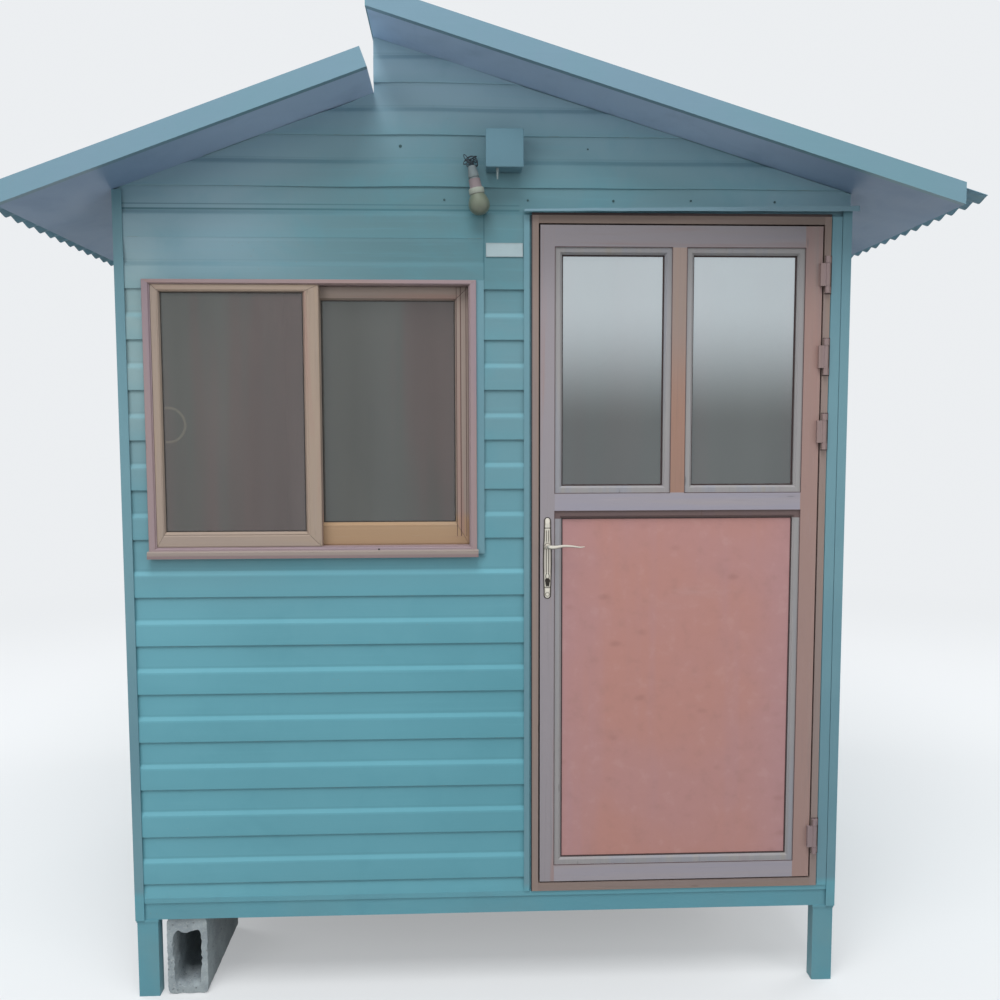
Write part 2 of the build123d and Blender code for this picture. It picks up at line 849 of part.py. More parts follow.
# Hinges: outer knuckles and pin on the frame, middle knuckle and arm on the leaf
hinge_x = leaf_right + hinge_past_leaf
hinge_y = leaf_front_y - hinge_stand_off
hinge_heights = [leaf_top_z - drop for drop in upper_hinge_drops]
hinge_heights.append(leaf_bottom_z + lower_hinge_rise)
with BuildPart() as door_hinges_frame:
    for middle_z in hinge_heights:
        foot_z = middle_z - hinge_length / 2
        with BuildSketch(Plane.XY.offset(foot_z)):
            with Locations((hinge_x, hinge_y)):
                Circle(hinge_pin_radius)
        extrude(amount=hinge_length)
        for knuckle_z in (foot_z, foot_z + hinge_length - hinge_knuckle):
            with BuildSketch(Plane.XY.offset(knuckle_z)):
                with Locations((hinge_x, hinge_y)):
                    Circle(hinge_radius)
                rectangle_between(
                    hinge_x - hinge_plate_edge,
                    door_frame_right,
                    leaf_front_y - hinge_plate,
                    leaf_front_y,
                )
            extrude(amount=hinge_knuckle)
door_hinges_frame.part.label = "door_hinges_frame"
export_step(door_hinges_frame.part, "parts/door_hinges_frame.step")

leaf_knuckle = hinge_length - 2 * (hinge_knuckle + hinge_knuckle_gap)
with BuildPart() as door_hinges_leaf:
    for middle_z in hinge_heights:
        with BuildSketch(Plane.XY.offset(middle_z - leaf_knuckle / 2)):
            with Locations((hinge_x, hinge_y)):
                Circle(hinge_radius)
            rectangle_between(
                leaf_right - hinge_leaf_plate,
                hinge_x,
                hinge_y - hinge_arm / 2,
                hinge_y + hinge_arm / 2,
            )
            rectangle_between(
                leaf_right - hinge_leaf_plate, leaf_right - hinge_leaf_edge, hinge_y, leaf_front_y
            )
            with Locations((hinge_x, hinge_y)):
                Circle(hinge_pin_radius + hinge_pin_clearance, mode=Mode.SUBTRACT)
        extrude(amount=leaf_knuckle)
door_hinges_leaf.part.label = "door_hinges_leaf"
export_step(door_hinges_leaf.part, "parts/door_hinges_leaf.step")

# Handle plates on both faces of the left stile, slender at their ends
handle_plate_top = handle_z + handle_plate_above
handle_plate_bottom = handle_z - handle_plate_below
plate_middle_z = (handle_plate_top + handle_plate_bottom) / 2
plate_half = handle_plate_width / 2
end_half = handle_plate_end / 2
with BuildPart() as handle_plates:
    for back_y, outward in ((leaf_front_y, 0), (leaf_back_y + handle_plate_thickness, -1)):
        with BuildSketch(facing_front(back_y)):
            with BuildLine():
                ThreePointArc(
                    (handle_x - end_half, handle_plate_top - end_half),
                    (handle_x, handle_plate_top),
                    (handle_x + end_half, handle_plate_top - end_half),
                )
                ThreePointArc(
                    (handle_x + end_half, handle_plate_top - end_half),
                    (handle_x + plate_half, plate_middle_z),
                    (handle_x + end_half, handle_plate_bottom + end_half),
                )
                ThreePointArc(
                    (handle_x + end_half, handle_plate_bottom + end_half),
                    (handle_x, handle_plate_bottom),
                    (handle_x - end_half, handle_plate_bottom + end_half),
                )
                ThreePointArc(
                    (handle_x - end_half, handle_plate_bottom + end_half),
                    (handle_x - plate_half, plate_middle_z),
                    (handle_x - end_half, handle_plate_top - end_half),
                )
            make_face()
        extrude(amount=handle_plate_thickness)
        outward_face = handle_plates.faces(Select.LAST).sort_by(Axis.Y)[outward]
        chamfer(outward_face.edges(), handle_plate_round)
        with BuildSketch(facing_front(back_y)):
            with Locations((handle_x, handle_z)):
                Circle(hub_radius + hub_clearance)
            lock_outline(lock_clearance)
        extrude(amount=handle_plate_thickness, mode=Mode.SUBTRACT)
handle_plates.part.label = "handle_plates"
export_step(handle_plates.part, "parts/handle_plates.step")

lock_back_y = leaf_back_y + handle_plate_thickness + lock_proud
lock_front_y = leaf_front_y - handle_plate_thickness - lock_proud
with BuildPart() as lock_cylinder:
    with BuildSketch(facing_front(lock_back_y)):
        lock_outline(0)
    extrude(amount=lock_back_y - lock_front_y)
lock_cylinder.part.label = "lock_cylinder"
export_step(lock_cylinder.part, "parts/lock_cylinder.step")

# Levers joined by their spindle: each is a round hub and a grip that tapers to its tip
grip_sections = (
    (0, lever_root, 0),
    (lever_bend, lever_middle, lever_rise),
    (lever_length, lever_tip, 0),
)
hub_length = lever_stand_off + lever_root[1] / 2 - hub_clearance
with BuildPart() as door_levers:
    with BuildSketch(facing_front(leaf_back_y + hub_clearance)):
        with Locations((handle_x, handle_z)):
            Circle(spindle_radius)
    extrude(amount=leaf_thickness + 2 * hub_clearance)
    for face_y, outward in ((leaf_front_y, -1), (leaf_back_y, 1)):
        with BuildSketch(facing_front(face_y + outward * hub_clearance)):
            with Locations((handle_x, handle_z)):
                Circle(hub_radius)
        extrude(amount=-outward * hub_length)
        hub_end = door_levers.faces().sort_by(Axis.Y)[0 if outward < 0 else -1]
        chamfer(hub_end.edges(), hub_round)
        for reach, (height, depth), rise in grip_sections:
            with BuildSketch(facing_right(handle_x + reach)):
                with Locations((face_y + outward * lever_stand_off, handle_z + rise)):
                    oval(depth, height, lever_sides)
        loft(ruled=True)
door_levers.part.label = "door_levers"
export_step(door_levers.part, "parts/door_levers.step")

# Junction box with a wider lid, and the short cut cable that hangs from it
box_right = door_frame_left - box_from_door
box_left = box_right - box_width
box_bottom_z = door_top_z + box_above_door
box_top_z = box_bottom_z + box_height
with BuildPart() as junction_box:
    with BuildSketch(facing_front(front_y)):
        rectangle_between(box_left, box_right, box_bottom_z, box_top_z)
        fillet(vertices(), box_corner)
    extrude(amount=box_depth)
    with BuildSketch(facing_front(front_y - box_depth)):
        rectangle_between(*shrunk((box_left, box_right, box_bottom_z, box_top_z), -lid_edge))
        fillet(vertices(), box_corner)
    extrude(amount=lid_depth)
    chamfer(junction_box.faces().sort_by(Axis.Y)[0].edges(), lid_edge)
    with BuildSketch(Plane.XY.offset(box_bottom_z - stub_length)):
        with Locations((box_left + stub_from_side, front_y - stub_from_wall)):
            Circle(stub_radius)
    extrude(amount=stub_length)
junction_box.part.label = "junction_box"
export_step(junction_box.part, "parts/junction_box.step")

# Lamp: a hook in the wall, and a holder and bulb that hang from it a little askew
tilt = radians(lamp_tilt)
hook_x = box_left - hook_from_box
hook_z = box_bottom_z + hook_above_box_foot
lamp_up = Vector(-sin(tilt), 0, cos(tilt))
hook_end = Vector(hook_x, front_y - hook_reach, hook_z) - lamp_up * hook_drop
with BuildPart() as lamp_hook:
    with BuildSketch(facing_front(front_y)):
        with Locations((hook_x, hook_z)):
            Circle(hook_washer_radius)
    extrude(amount=hook_washer)
    with BuildLine() as hook_path:
        FilletPolyline(
            (hook_x, front_y, hook_z),
            (hook_x, front_y - hook_reach, hook_z),
            hook_end,
            radius=hook_bend,
        )
    with BuildSketch(facing_front(front_y)):
        with Locations((hook_x, hook_z)):
            RegularPolygon(hook_rod / 2, hook_rod_sides)
    sweep()
lamp_hook.part.label = "lamp_hook"
export_step(lamp_hook.part, "parts/lamp_hook.step")

lamp_plane = Plane(origin=hook_end, x_dir=(cos(tilt), 0, sin(tilt)), z_dir=lamp_up)
lamp_axis = Axis(hook_end, lamp_up)

# Lamp holder: a many-sided body with a sloping shoulder and a wider collar at its foot
with BuildPart() as lamp_holder:
    with BuildSketch(lamp_plane):
        RegularPolygon(holder_radius, lamp_sides)
    extrude(amount=-holder_length)
    shoulder = lamp_holder.faces().sort_by(lamp_axis)[-1]
    chamfer(shoulder.edges(), holder_radius - holder_neck, holder_shoulder, reference=shoulder)
    with BuildSketch(lamp_plane.offset(-holder_length)):
        RegularPolygon(holder_radius + holder_collar_edge, lamp_sides)
    extrude(amount=holder_collar)
lamp_holder.part.label = "lamp_holder"
export_step(lamp_holder.part, "parts/lamp_holder.step")

# Bulb: a many-sided body that narrows to its neck and is rounded to its foot in two steps
with BuildPart() as lamp_bulb:
    with BuildSketch(lamp_plane.offset(-holder_length)):
        RegularPolygon(bulb_radius, lamp_sides)
    extrude(amount=-bulb_length)
    neck = lamp_bulb.faces().sort_by(lamp_axis)[-1]
    chamfer(neck.edges(), bulb_radius - bulb_neck, bulb_flare, reference=neck)
    for inwards, upwards in bulb_foot_steps:
        foot = lamp_bulb.faces().sort_by(lamp_axis)[0]
        chamfer(foot.edges(), inwards, upwards, reference=foot)
lamp_bulb.part.label = "lamp_bulb"
export_step(lamp_bulb.part, "parts/lamp_bulb.step")

# Bare number plate under the junction box
number_plate_bottom_z = door_top_z - number_plate_below_door_head
with BuildPart() as number_plate:
    with BuildSketch(facing_front(front_y)):
        rectangle_between(
            box_left,
            box_left + number_plate_width,
            number_plate_bottom_z,
            number_plate_bottom_z + number_plate_height,
        )
    extrude(amount=number_plate_thickness)
number_plate.part.label = "number_plate"
export_step(number_plate.part, "parts/number_plate.step")
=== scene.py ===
"""Looks of a portable site cabin: lapped boards, foil-covered door and window, corrugated roof."""

import functools
import math

import bmesh
import bpy
import numpy as np
from bpy.props import FloatProperty, FloatVectorProperty, IntProperty, PointerProperty
from mathutils import Matrix, Vector


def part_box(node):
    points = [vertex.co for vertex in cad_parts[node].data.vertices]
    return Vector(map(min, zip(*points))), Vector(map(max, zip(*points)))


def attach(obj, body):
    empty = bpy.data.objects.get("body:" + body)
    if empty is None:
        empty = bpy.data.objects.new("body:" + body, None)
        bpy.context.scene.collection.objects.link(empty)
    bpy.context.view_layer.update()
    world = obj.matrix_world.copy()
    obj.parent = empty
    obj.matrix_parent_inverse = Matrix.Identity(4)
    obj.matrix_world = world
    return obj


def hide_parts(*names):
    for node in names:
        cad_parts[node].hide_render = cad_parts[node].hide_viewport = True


bl_info = {
    "name": "Site Cabin Looks",
    "version": (1, 0, 0),
    "blender": (4, 5, 0),
    "location": "View3D > Sidebar > Cabin",
    "description": "Boards, sheets, glass, fittings and finishes of a portable site cabin",
    "category": "Object",
}

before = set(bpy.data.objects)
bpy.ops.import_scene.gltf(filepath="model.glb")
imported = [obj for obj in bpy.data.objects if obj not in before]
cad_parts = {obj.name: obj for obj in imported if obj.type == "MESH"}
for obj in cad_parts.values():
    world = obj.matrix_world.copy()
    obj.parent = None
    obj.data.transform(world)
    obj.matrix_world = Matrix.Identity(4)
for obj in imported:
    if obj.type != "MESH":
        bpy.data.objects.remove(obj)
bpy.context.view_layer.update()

MM = 0.001


def corners(node):
    """Lowest and highest corner of a node's box."""
    return [np.array(corner, float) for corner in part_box(node)]


def span(node, *axes):
    """Lowest and highest place of a node along each of the axes (0, 1 or 2), one after another."""
    return tuple(float(corner[axis]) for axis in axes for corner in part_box(node))


# Places read from the frame, in metres
WALL_LEFT, WALL_RIGHT = span("back_wall", 0)
WALL_FRONT = span("front_gable", 1)[0]
WALL_INSIDE, WALL_BACK = span("back_wall", 1)
WALL_THICK = WALL_BACK - WALL_INSIDE
BASE_TOP = span("back_wall", 2)[0]
GABLE_FOOT = span("front_gable", 2)[0]
DECK_THICK = 40 * MM
STEP_X, RIGHT_EAVE_X, RIGHT_EAVE_Z, DECK_TOP = span("right_roof_deck", 0, 2)
RIGHT_TOP = DECK_TOP - DECK_THICK
RIGHT_SLOPE = (RIGHT_TOP - RIGHT_EAVE_Z) / (RIGHT_EAVE_X - STEP_X)
LEFT_EAVE_X, LEFT_EAVE_Z = span("left_roof_deck", 0)[0], span("left_roof_deck", 2)[0]
LEFT_SLOPE = (span("left_wall", 2)[1] - LEFT_EAVE_Z) / (span("left_wall", 0)[1] - LEFT_EAVE_X)
LEFT_TOP = LEFT_EAVE_Z + LEFT_SLOPE * (STEP_X - LEFT_EAVE_X)
LEAF_FRONT, LEAF_BACK = span("door_stiles", 1)

# Cladding: the recess fades out over its foot and at one faint lap; a seam crosses the gable, and a
# smooth patch lies between the window and the door
FOOT_FADE = 40 * MM
FAINT_LAP = (2.292, 2.310, 2.405, 2.424)
SEAM = 2.4305
WIDE_BEVEL = 1.342
PATCH_LEFT = span("window_frame", 0)[1] + 24 * MM
PATCH_FOOT = 2.222
DOOR_GAP_DEPTH = 5 * MM
UNSEEN_BOARD = 0.3

# Section of a board: heights in millimetres over its foot, over the bevel's middle and under its
# head, and at all of them the share of the recess and the place in the board
LIP_HEIGHTS, BEVEL_HEIGHTS, HEAD_HEIGHTS = (0.0, 0.8, 2.6), (-13, -6.5, 0, 5, 11), (10.0, 1.8, 0.0)
SECTION_DEPTHS = (0.34, 0.08, 0.0, 0.05, 0.16, 0.62, 0.95, 1.0, 0.98, 0.95, 0.92)
SECTION_PLACES = (1.0, 0.995, 0.985, 0.545, 0.525, 0.50, 0.485, 0.455, 0.07, 0.012, 0.0)

# Roof screws: their rows' shares of the way down, and the dome's (radius, height) in millimetres
SCREW_ROWS = (0.10, 0.52, 0.93)
SCREW_DOME = ((0.0, 0.0), (7.5, 0.0), (7.5, 0.9), (4.6, 1.1), (4.4, 2.2), (0.0, 2.9))

# Nodes that share a finish
TRIMS = ("corner_trims", "side_trims", "front_wall_right")
DECKS = ("right_roof_deck", "left_roof_deck")
LEVEL_FRAME = ("door_head", "door_sill")
HINGES = ("door_hinges_frame", "door_hinges_leaf")

# Sashes: node, widths of the left, right, foot and head bars, the groove's depth, all in
# millimetres, and the foil; then worn lines on the inner one: place off its edge, and width
SASHES = (
    ("left_sash", (26, 48, 46, 22), 1.5, "near"),
    ("right_sash", (48, 42, 70, 41), 0.3, "far"),
)
SASH_LINES = ((38.0, 1.6), (26.0, 2.6), (9.0, 1.8))
FRAME_SCREW_X = -0.335

# Door: the hinges' length and feet, and the lever's line in millimetres: along from the hub, out
# of the arm's plane, up, half width and half height
HINGE_LENGTH = 110 * MM
HINGE_FEET = (0.430, 1.713, 1.941, 2.188)
LEVER_LINE = (
    (1, -9, 0, 6.2, 7.0), (8, 0, -0.8, 6.0, 7.2), (24, 1, -0.5, 4.8, 6.0), (46, 1, 3.0, 4.0, 4.6),
    (72, 0.5, 2.0, 3.4, 3.8), (96, 0, -1.0, 2.8, 2.8),
)

# Turned profiles: radius and place along the axis, in millimetres
LEVER_ROSE = ((0, 0.0), (8.8, 0.0), (8.8, 2.0), (7.6, 3.6), (8.2, 5.2), (7.2, 8.0), (0, 8.6))
# Painted shade on the lever's rose, from its foot by the leaf up
ROSE_SHADE = (0.8, 1.0, 0.9, 0.5, 0.2, 0.0, 0.0)
HOLDER_PROFILE = (
    (0, 0), (9.0, 0), (11.0, -1.5), (13.0, -12.0), (15.4, -24.0), (16.0, -27.0), (16.0, -33.0),
    (14.2, -34.0), (14.2, -38.0), (17.2, -39.0), (17.6, -62.0), (20.0, -65.0), (21.6, -68.0),
    (21.8, -80.0),
)
CLAY_FROM = -38.5
LAMP_SIDES = 32
HOLDER_RIM = (
    (22.0, -66.5), (22.8, -68.0), (23.0, -79.0), (21.6, -82.5), (20.6, -82.5), (20.6, -66.5),
)
STUB_PROFILE = (
    (0, 2.0), (4.2, 2.0), (4.2, -8.0), (3.4, -9.0), (3.4, -20.0), (2.4, -21.5), (2.4, -29.5),
    (0, -30),
)

# Strands of the lamp's wire: turns across and up, and how far they lag
WIRE_TURNS = ((2.0, 3.0, 0.4), (3.0, 2.0, 2.1), (2.5, 3.5, 4.0))

# Nail heads in the gable: across, height in metres and radius in millimetres
NAIL_MARKS = (
    (-0.130, 2.461, 3.2), (0.120, 2.461, 3.0), (0.378, 2.461, 3.6), (0.613, 2.463, 3.0),
    (0.869, 2.461, 3.4), (-0.259, 2.616, 4.6), (0.300, 2.612, 2.6),
)

# Weather, painted light, painted shade and a painted reflection on paint, foil and glass: heights,
# or places across, between which each kind comes in
GREY_SHADE_UP, GREYS_LEFT = (0.90, 2.10), (-0.35, -1.0)
TOP_LIGHT_UP = (2.42, 2.84)
FRONT_FACE = (WALL_FRONT + 0.020, WALL_FRONT + 0.014)
HAZE_ACROSS, HAZE_FROM, HAZE_TO = (-0.92, -1.06), (1.50, 2.10), (2.5, 2.3)
PALE_ACROSS, PALE_DOWN = (-0.45, -0.95), (1.40, 1.15)
UNDER_RIGHT, UNDER_RIGHT_UP = (0.50, 0.95), (2.30, 2.45)
UNDER_LEFT, UNDER_LEFT_UP = (-0.45, -0.85), (2.15, 2.35)
SHADE_MIDDLE, SHADE_REACH, SHADE_FROM, SHADE_TO = -0.13, (0.55, 0.08), (2.05, 2.25), (2.80, 2.60)
HIGH_LAPS = (2.20, 2.26)
SEAM_END = (0.10, 0.09)
INNER_SOFFIT = (1.15, 0.60)
FOOT_STRIP = (0.350, 0.325)
MUDDY = (0.42, 0.02)
EAVES_SHADE_UP = (2.10, 2.36)
MULLION_TURN = (1.80, 2.15)
PANE_HEAD = (1.78, 2.17)

# Colours as the eye sees them, of weather, wear, painted haze, painted shadow and small parts
PAINTED_HAZE = (0.56, 0.66, 0.67)
SHADOW_BROWN = (0.33, 0.235, 0.225)
TURNED_FOIL = (0.590, 0.485, 0.460)
MULLION_FOIL, MULLION_TAN = (0.560, 0.495, 0.468), (0.585, 0.460, 0.405)
SASH_TAN = (0.622, 0.516, 0.408)
HINGE_FOIL = (0.540, 0.465, 0.455)
CEMENT, CEMENT_DARK = (0.64, 0.68, 0.695), (0.54, 0.575, 0.60)
SAND, PIT = (0.80, 0.81, 0.79), (0.42, 0.43, 0.44)
FLOOR_BROWN, FLOOR_DARK, FLOOR_JOINT = (0.52, 0.44, 0.35), (0.38, 0.31, 0.24), (0.12, 0.10, 0.08)
SHEET_RUST = (0.42, 0.27, 0.18)
WINDOW_TINT, DOOR_TINT = (0.77, 0.76, 0.72), (0.66, 0.70, 0.70)

# Linear colours of shader layers
GABLE_SHADE = (0.69, 0.755, 0.75, 1.0)
CHIPPED = (0.42, 0.40, 0.37, 1.0)
FOIL_DIRT, FOIL_SCRATCH = (0.16, 0.13, 0.11, 1.0), (0.55, 0.52, 0.50, 1.0)
PANEL_PALE, PANEL_WIPE = (0.58, 0.40, 0.37, 1.0), (0.56, 0.46, 0.45, 1.0)
PANEL_FLECK, PANEL_DOT = (0.22, 0.10, 0.09, 1.0), (0.24, 0.12, 0.11, 1.0)
MIRROR = (0.80, 0.88, 0.92, 1.0)
DUST_GREY, DUST_MAUVE = (0.30, 0.295, 0.27, 1.0), (0.36, 0.265, 0.25, 1.0)
METAL_GRIME_AND_SHADE = (0.060, 0.048, 0.038, 1.0)
SKY_LIGHT = (0.90, 0.96, 1.0, 1.0)

# Finishes of small parts: tone, roughness, and what differs from the plain finish
SMALL_FINISHES = {
    "nail_rust": ((0.24, 0.34, 0.35), 0.7, {"mottle": 0.3, "grain": 300.0}),
    "screw_zinc": ((0.50, 0.55, 0.57), 0.45, {"metallic": 0.5, "grain": 300.0}),
    "dark_seal": ((0.20, 0.19, 0.18), 0.6, {"mottle": 0.3}),
    "worn_line": ((0.36, 0.27, 0.25), 0.6, {"mottle": 0.35}),
    "screw_dark": ((0.12, 0.10, 0.09), 0.7, {}),
    # The window pull glows with painted light
    "pull_grey": ((0.86, 0.84, 0.80), 0.35, {"mottle": 0.1, "glow": 0.30}),
    "groove_brown": ((0.33, 0.265, 0.265), 0.6, {"mottle": 0.3}),
    "door_seal": ((0.22, 0.17, 0.17), 0.6, {"mottle": 0.3}),
    "dark_brass": ((0.17, 0.15, 0.13), 0.5, {"metallic": 0.4}),
    "hook_wire": ((0.24, 0.27, 0.30), 0.6, {"metallic": 0.2}),
    "holder_cap": ((0.42, 0.46, 0.47), 0.6, {"mottle": 0.35, "grain": 60.0}),
    "holder_clay": ((0.475, 0.435, 0.445), 0.6, {"mottle": 0.35, "grain": 60.0}),
    "holder_rim": ((0.575, 0.60, 0.56), 0.5, {"mottle": 0.3, "grain": 60.0}),
    "bulb_dust": ((0.40, 0.43, 0.37), 0.3, {"mottle": 0.3, "grain": 40.0, "coat": 0.4}),
    "stub_white": ((0.52, 0.58, 0.59), 0.5, {}),
    "lid_screw": ((0.42, 0.52, 0.55), 0.45, {"metallic": 0.3, "grain": 300.0}),
    "plate_white": ((0.62, 0.69, 0.71), 0.35, {"mottle": 0.16}),
    "plate_rim": ((0.60, 0.655, 0.67), 0.4, {"mottle": 0.2}),
}

# Area lamps: place, target, size and the setting that holds the power
LAMPS = {
    "overhead": ((-0.4, -4.1, 7.2), (0, -1.2, 1.5), 3.6, "overhead"),
    "key": ((-3.8, -6.0, 3.4), (0, -1.2, 1.3), 3.4, "key"),
    "fill": ((4.6, -5.0, 2.6), (0, -1.2, 1.2), 3.0, "fill"),
    "behind": ((0.0, 6.8, 4.6), (0, 1.2, 1.4), 4.0, "behind"),
    "left": ((-6.8, 2.2, 3.6), (-1.1, 0.2, 1.4), 3.4, "beside"),
    "right": ((6.8, 2.2, 3.6), (1.1, 0.2, 1.4), 3.4, "beside"),
}
LAMP_TINTS = {"key": (1.0, 0.985, 0.96)}
FLOOR_HALF = 24.0

# Sine waves in one ripple, and the way a screw's head looks
RIPPLE_WAVES = 9
FORWARD = (0, -1, 0)


def left_underside(x):
    """Height of the lower, left roof's underside, also right at the step."""
    return LEFT_TOP - LEFT_SLOPE * (STEP_X - np.asarray(x, float))


def roof_underside(x):
    """Height of the roof's underside: it falls in a straight line from the step to either side."""
    x = np.asarray(x, float)
    return np.where(x >= STEP_X, RIGHT_TOP - RIGHT_SLOPE * (x - STEP_X), left_underside(x))


# Settings that a user would change


def setting(kind, name, description, default, **others):
    """One property of a group."""
    return kind(name=name, description=description, default=default, **others)


def colour(*texts):
    """Colour property of a finish, as the eye sees it."""
    return setting(FloatVectorProperty, *texts, subtype="COLOR_GAMMA", size=3, min=0, max=1)


def length(*texts):
    """Length property in metres."""
    return setting(FloatProperty, *texts, unit="LENGTH", subtype="DISTANCE", precision=4)


def angle(name, description, degrees):
    """Angle property, given in degrees."""
    return setting(FloatProperty, name, description, math.radians(degrees), subtype="ANGLE")


def number(name, description, default, low=0, high=2000):
    """Plain number property; a whole default makes it a whole number."""
    kind = IntProperty if isinstance(default, int) else FloatProperty
    return setting(kind, name, description, default, min=low, max=high)


class CladdingSettings(bpy.types.PropertyGroup):
    """Lapped boards of the walls."""

    cover: length("Board cover", "Height of one board from lap to lap", 150.4 * MM)
    wide_cover: length("Joint cover", "Height of the board at the window's foot", 177 * MM)
    lower_half: length("Lower half", "Height of a board's bevel over its foot", 75 * MM)
    recess: length("Recess", "Depth of a board's upper half behind its lower half", 5.5 * MM)
    warp: length("Warp", "How far the boards bow in from flat", 1.6 * MM)
    joint_foot: length("Joint board foot", "Height of the lap under the wide board", 1267 * MM)
    paint: colour("Paint", "Teal of the walls", (0.368, 0.605, 0.660))
    paint_deep: colour("Deep paint", "Teal of thick or damp paint", (0.325, 0.560, 0.612))
    # Partly painted shade: the upper boards' teal is greyed and darkened as if under the eaves
    paint_dull_shaded: colour("Dull paint", "Greyed teal of the upper boards", (0.410, 0.540, 0.575))
    # Painted light: a pale tint that lifts the shade on the top boards and under the eaves
    paint_top_light: colour("High paint", "Bleached blue grey of the top boards", (0.600, 0.715, 0.780))


class TrimSettings(bpy.types.PropertyGroup):
    """Painted steel of the base, trims and fascias."""

    paint: colour("Trim paint", "Teal of the upright trims", (0.410, 0.562, 0.605))
    paint_deep: colour("Deep trim paint", "Teal of worn trims", (0.360, 0.510, 0.560))
    base: colour("Base paint", "Teal of the beams and legs", (0.365, 0.595, 0.650))
    base_deep: colour("Deep base paint", "Teal of worn beams and legs", (0.325, 0.540, 0.600))
    fascia: colour("Fascia paint", "Bluish teal of the fascias", (0.436, 0.553, 0.618))
    soffit: colour("Soffit paint", "Greyed blue teal under the roof", (0.475, 0.575, 0.695))
    soffit_inner: colour("Inner soffit paint", "Soffit near the step", (0.655, 0.735, 0.840))
    drip: colour("Drip paint", "Dull teal of the drip over the door", (0.470, 0.600, 0.655))
    case: colour("Box paint", "Teal of the junction box", (0.365, 0.505, 0.560))
    dust: colour("Dust", "Dust and dried mud near the ground", (0.500, 0.500, 0.455))


class RoofSettings(bpy.types.PropertyGroup):
    """Corrugated sheets."""

    wave_pitch: length("Wave pitch", "Width of one wave", 76 * MM)
    wave_depth: length("Wave depth", "Height of one wave", 16 * MM)
    thickness: length("Sheet thickness", "Thickness of the sheet", 1.6 * MM)
    paint: colour("Sheet paint", "Teal of the sheets", (0.470, 0.620, 0.690))
    wave_steps: number("Wave steps", "Facets of one wave", 14, 6, 40)


class JoinerySettings(bpy.types.PropertyGroup):
    """Foil-covered door and window."""

    frame_foil: colour("Door frame foil", "Foil of the door frame", (0.545, 0.475, 0.440))
    leaf_foil: colour("Door leaf foil", "Foil of the door leaf", (0.565, 0.540, 0.560))
    window_foil: colour("Window frame foil", "Foil of the window frame", (0.580, 0.505, 0.510))
    sash_foil: colour("Sash foil", "Foil of the sashes", (0.612, 0.545, 0.490))
    # Its own tone, darkened as painted shade on the inner sash
    far_foil: colour("Far sash foil", "Foil of the inner, right sash", (0.575, 0.520, 0.488))
    bead_foil: colour("Bead foil", "Foil of the beads round the panes", (0.575, 0.566, 0.568))
    rose: colour("Worn foil", "Rose brown where a foil has faded", (0.600, 0.470, 0.440))
    panel: colour("Panel", "Salmon of the door panel", (0.680, 0.505, 0.490))
    seal: length("Seal width", "Width of the dark seals round the panes", 4 * MM)


class FittingSettings(bpy.types.PropertyGroup):
    """Handle, lamp and junction box."""

    champagne: colour("Handle metal", "Champagne metal of the handle", (0.87, 0.845, 0.795))
    lamp_tilt: angle("Lamp tilt", "Lean of the lamp from upright", 11)
    holder_length: length("Holder length", "Length of the lamp holder", 84 * MM)
    bulb_length: length("Bulb length", "Length of the bulb under its holder", 60 * MM)
    flutes: number("Flutes", "Grooves along the handle plate", 3, 1, 7)


class StageSettings(bpy.types.PropertyGroup):
    """Camera, lamps and floor."""

    lens: number("Lens", "Focal length in millimetres", 33.84, 10, 200)
    camera_x: length("Camera across", "Camera's place across the cabin", -0.078)
    camera_y: length("Camera depth", "Camera's place in front of the cabin", -4.067)
    camera_z: length("Camera height", "Camera's height over the ground", 1.783)
    pitch: angle("Pitch", "Tilt up", -4.419)
    yaw: angle("Yaw", "Turn to the right", 2.249)
    roll: angle("Roll", "Lean", -0.117)
    sky: number("Sky", "Strength of the surrounding light", 0.46, 0, 3)
    overhead: number("Overhead lamp", "Power in watts", 360.0)
    key: number("Key lamp", "Power in watts", 95.0)
    fill: number("Fill lamp", "Power in watts", 60.0)
    behind: number("Back lamp", "Power in watts", 210.0)
    beside: number("Side lamps", "Power of each in watts", 170.0)
    floor: colour("Floor", "Pale floor as the camera sees it", (0.88, 0.885, 0.89))
    floor_bounce: colour("Floor bounce", "Floor as it throws light back", (0.60, 0.60, 0.59))
    backdrop: colour("Backdrop", "Pale colour behind the cabin", (0.925, 0.935, 0.945))
    plain_from: length("Plain from", "Distance where the floor starts to turn pale", 2.0)
    plain_to: length("Plain to", "Distance where the floor is as pale as the backdrop", 8.0)


# Shader maths


def linear(gamma_colour):
    """Linear colour of one as the eye sees it, by the usual power with a straight foot."""
    c = np.asarray(gamma_colour, float)
    return tuple(np.where(c <= 0.04045, c / 12.92, ((c + 0.055) / 1.055) ** 2.4).tolist()) + (1.0,)


class Value:
    """A shader number or vector: Python's operators on it add Math nodes."""

    def __init__(self, finish, socket):
        self.finish = finish
        self.socket = socket

    def __add__(self, other):
        return self.finish.math("ADD", self, other)

    def __sub__(self, other):
        return self.finish.math("SUBTRACT", self, other)

    def __rsub__(self, other):
        return self.finish.math("SUBTRACT", other, self)

    def __mul__(self, other):
        return self.finish.math("MULTIPLY", self, other)

    __radd__ = __add__
    __rmul__ = __mul__


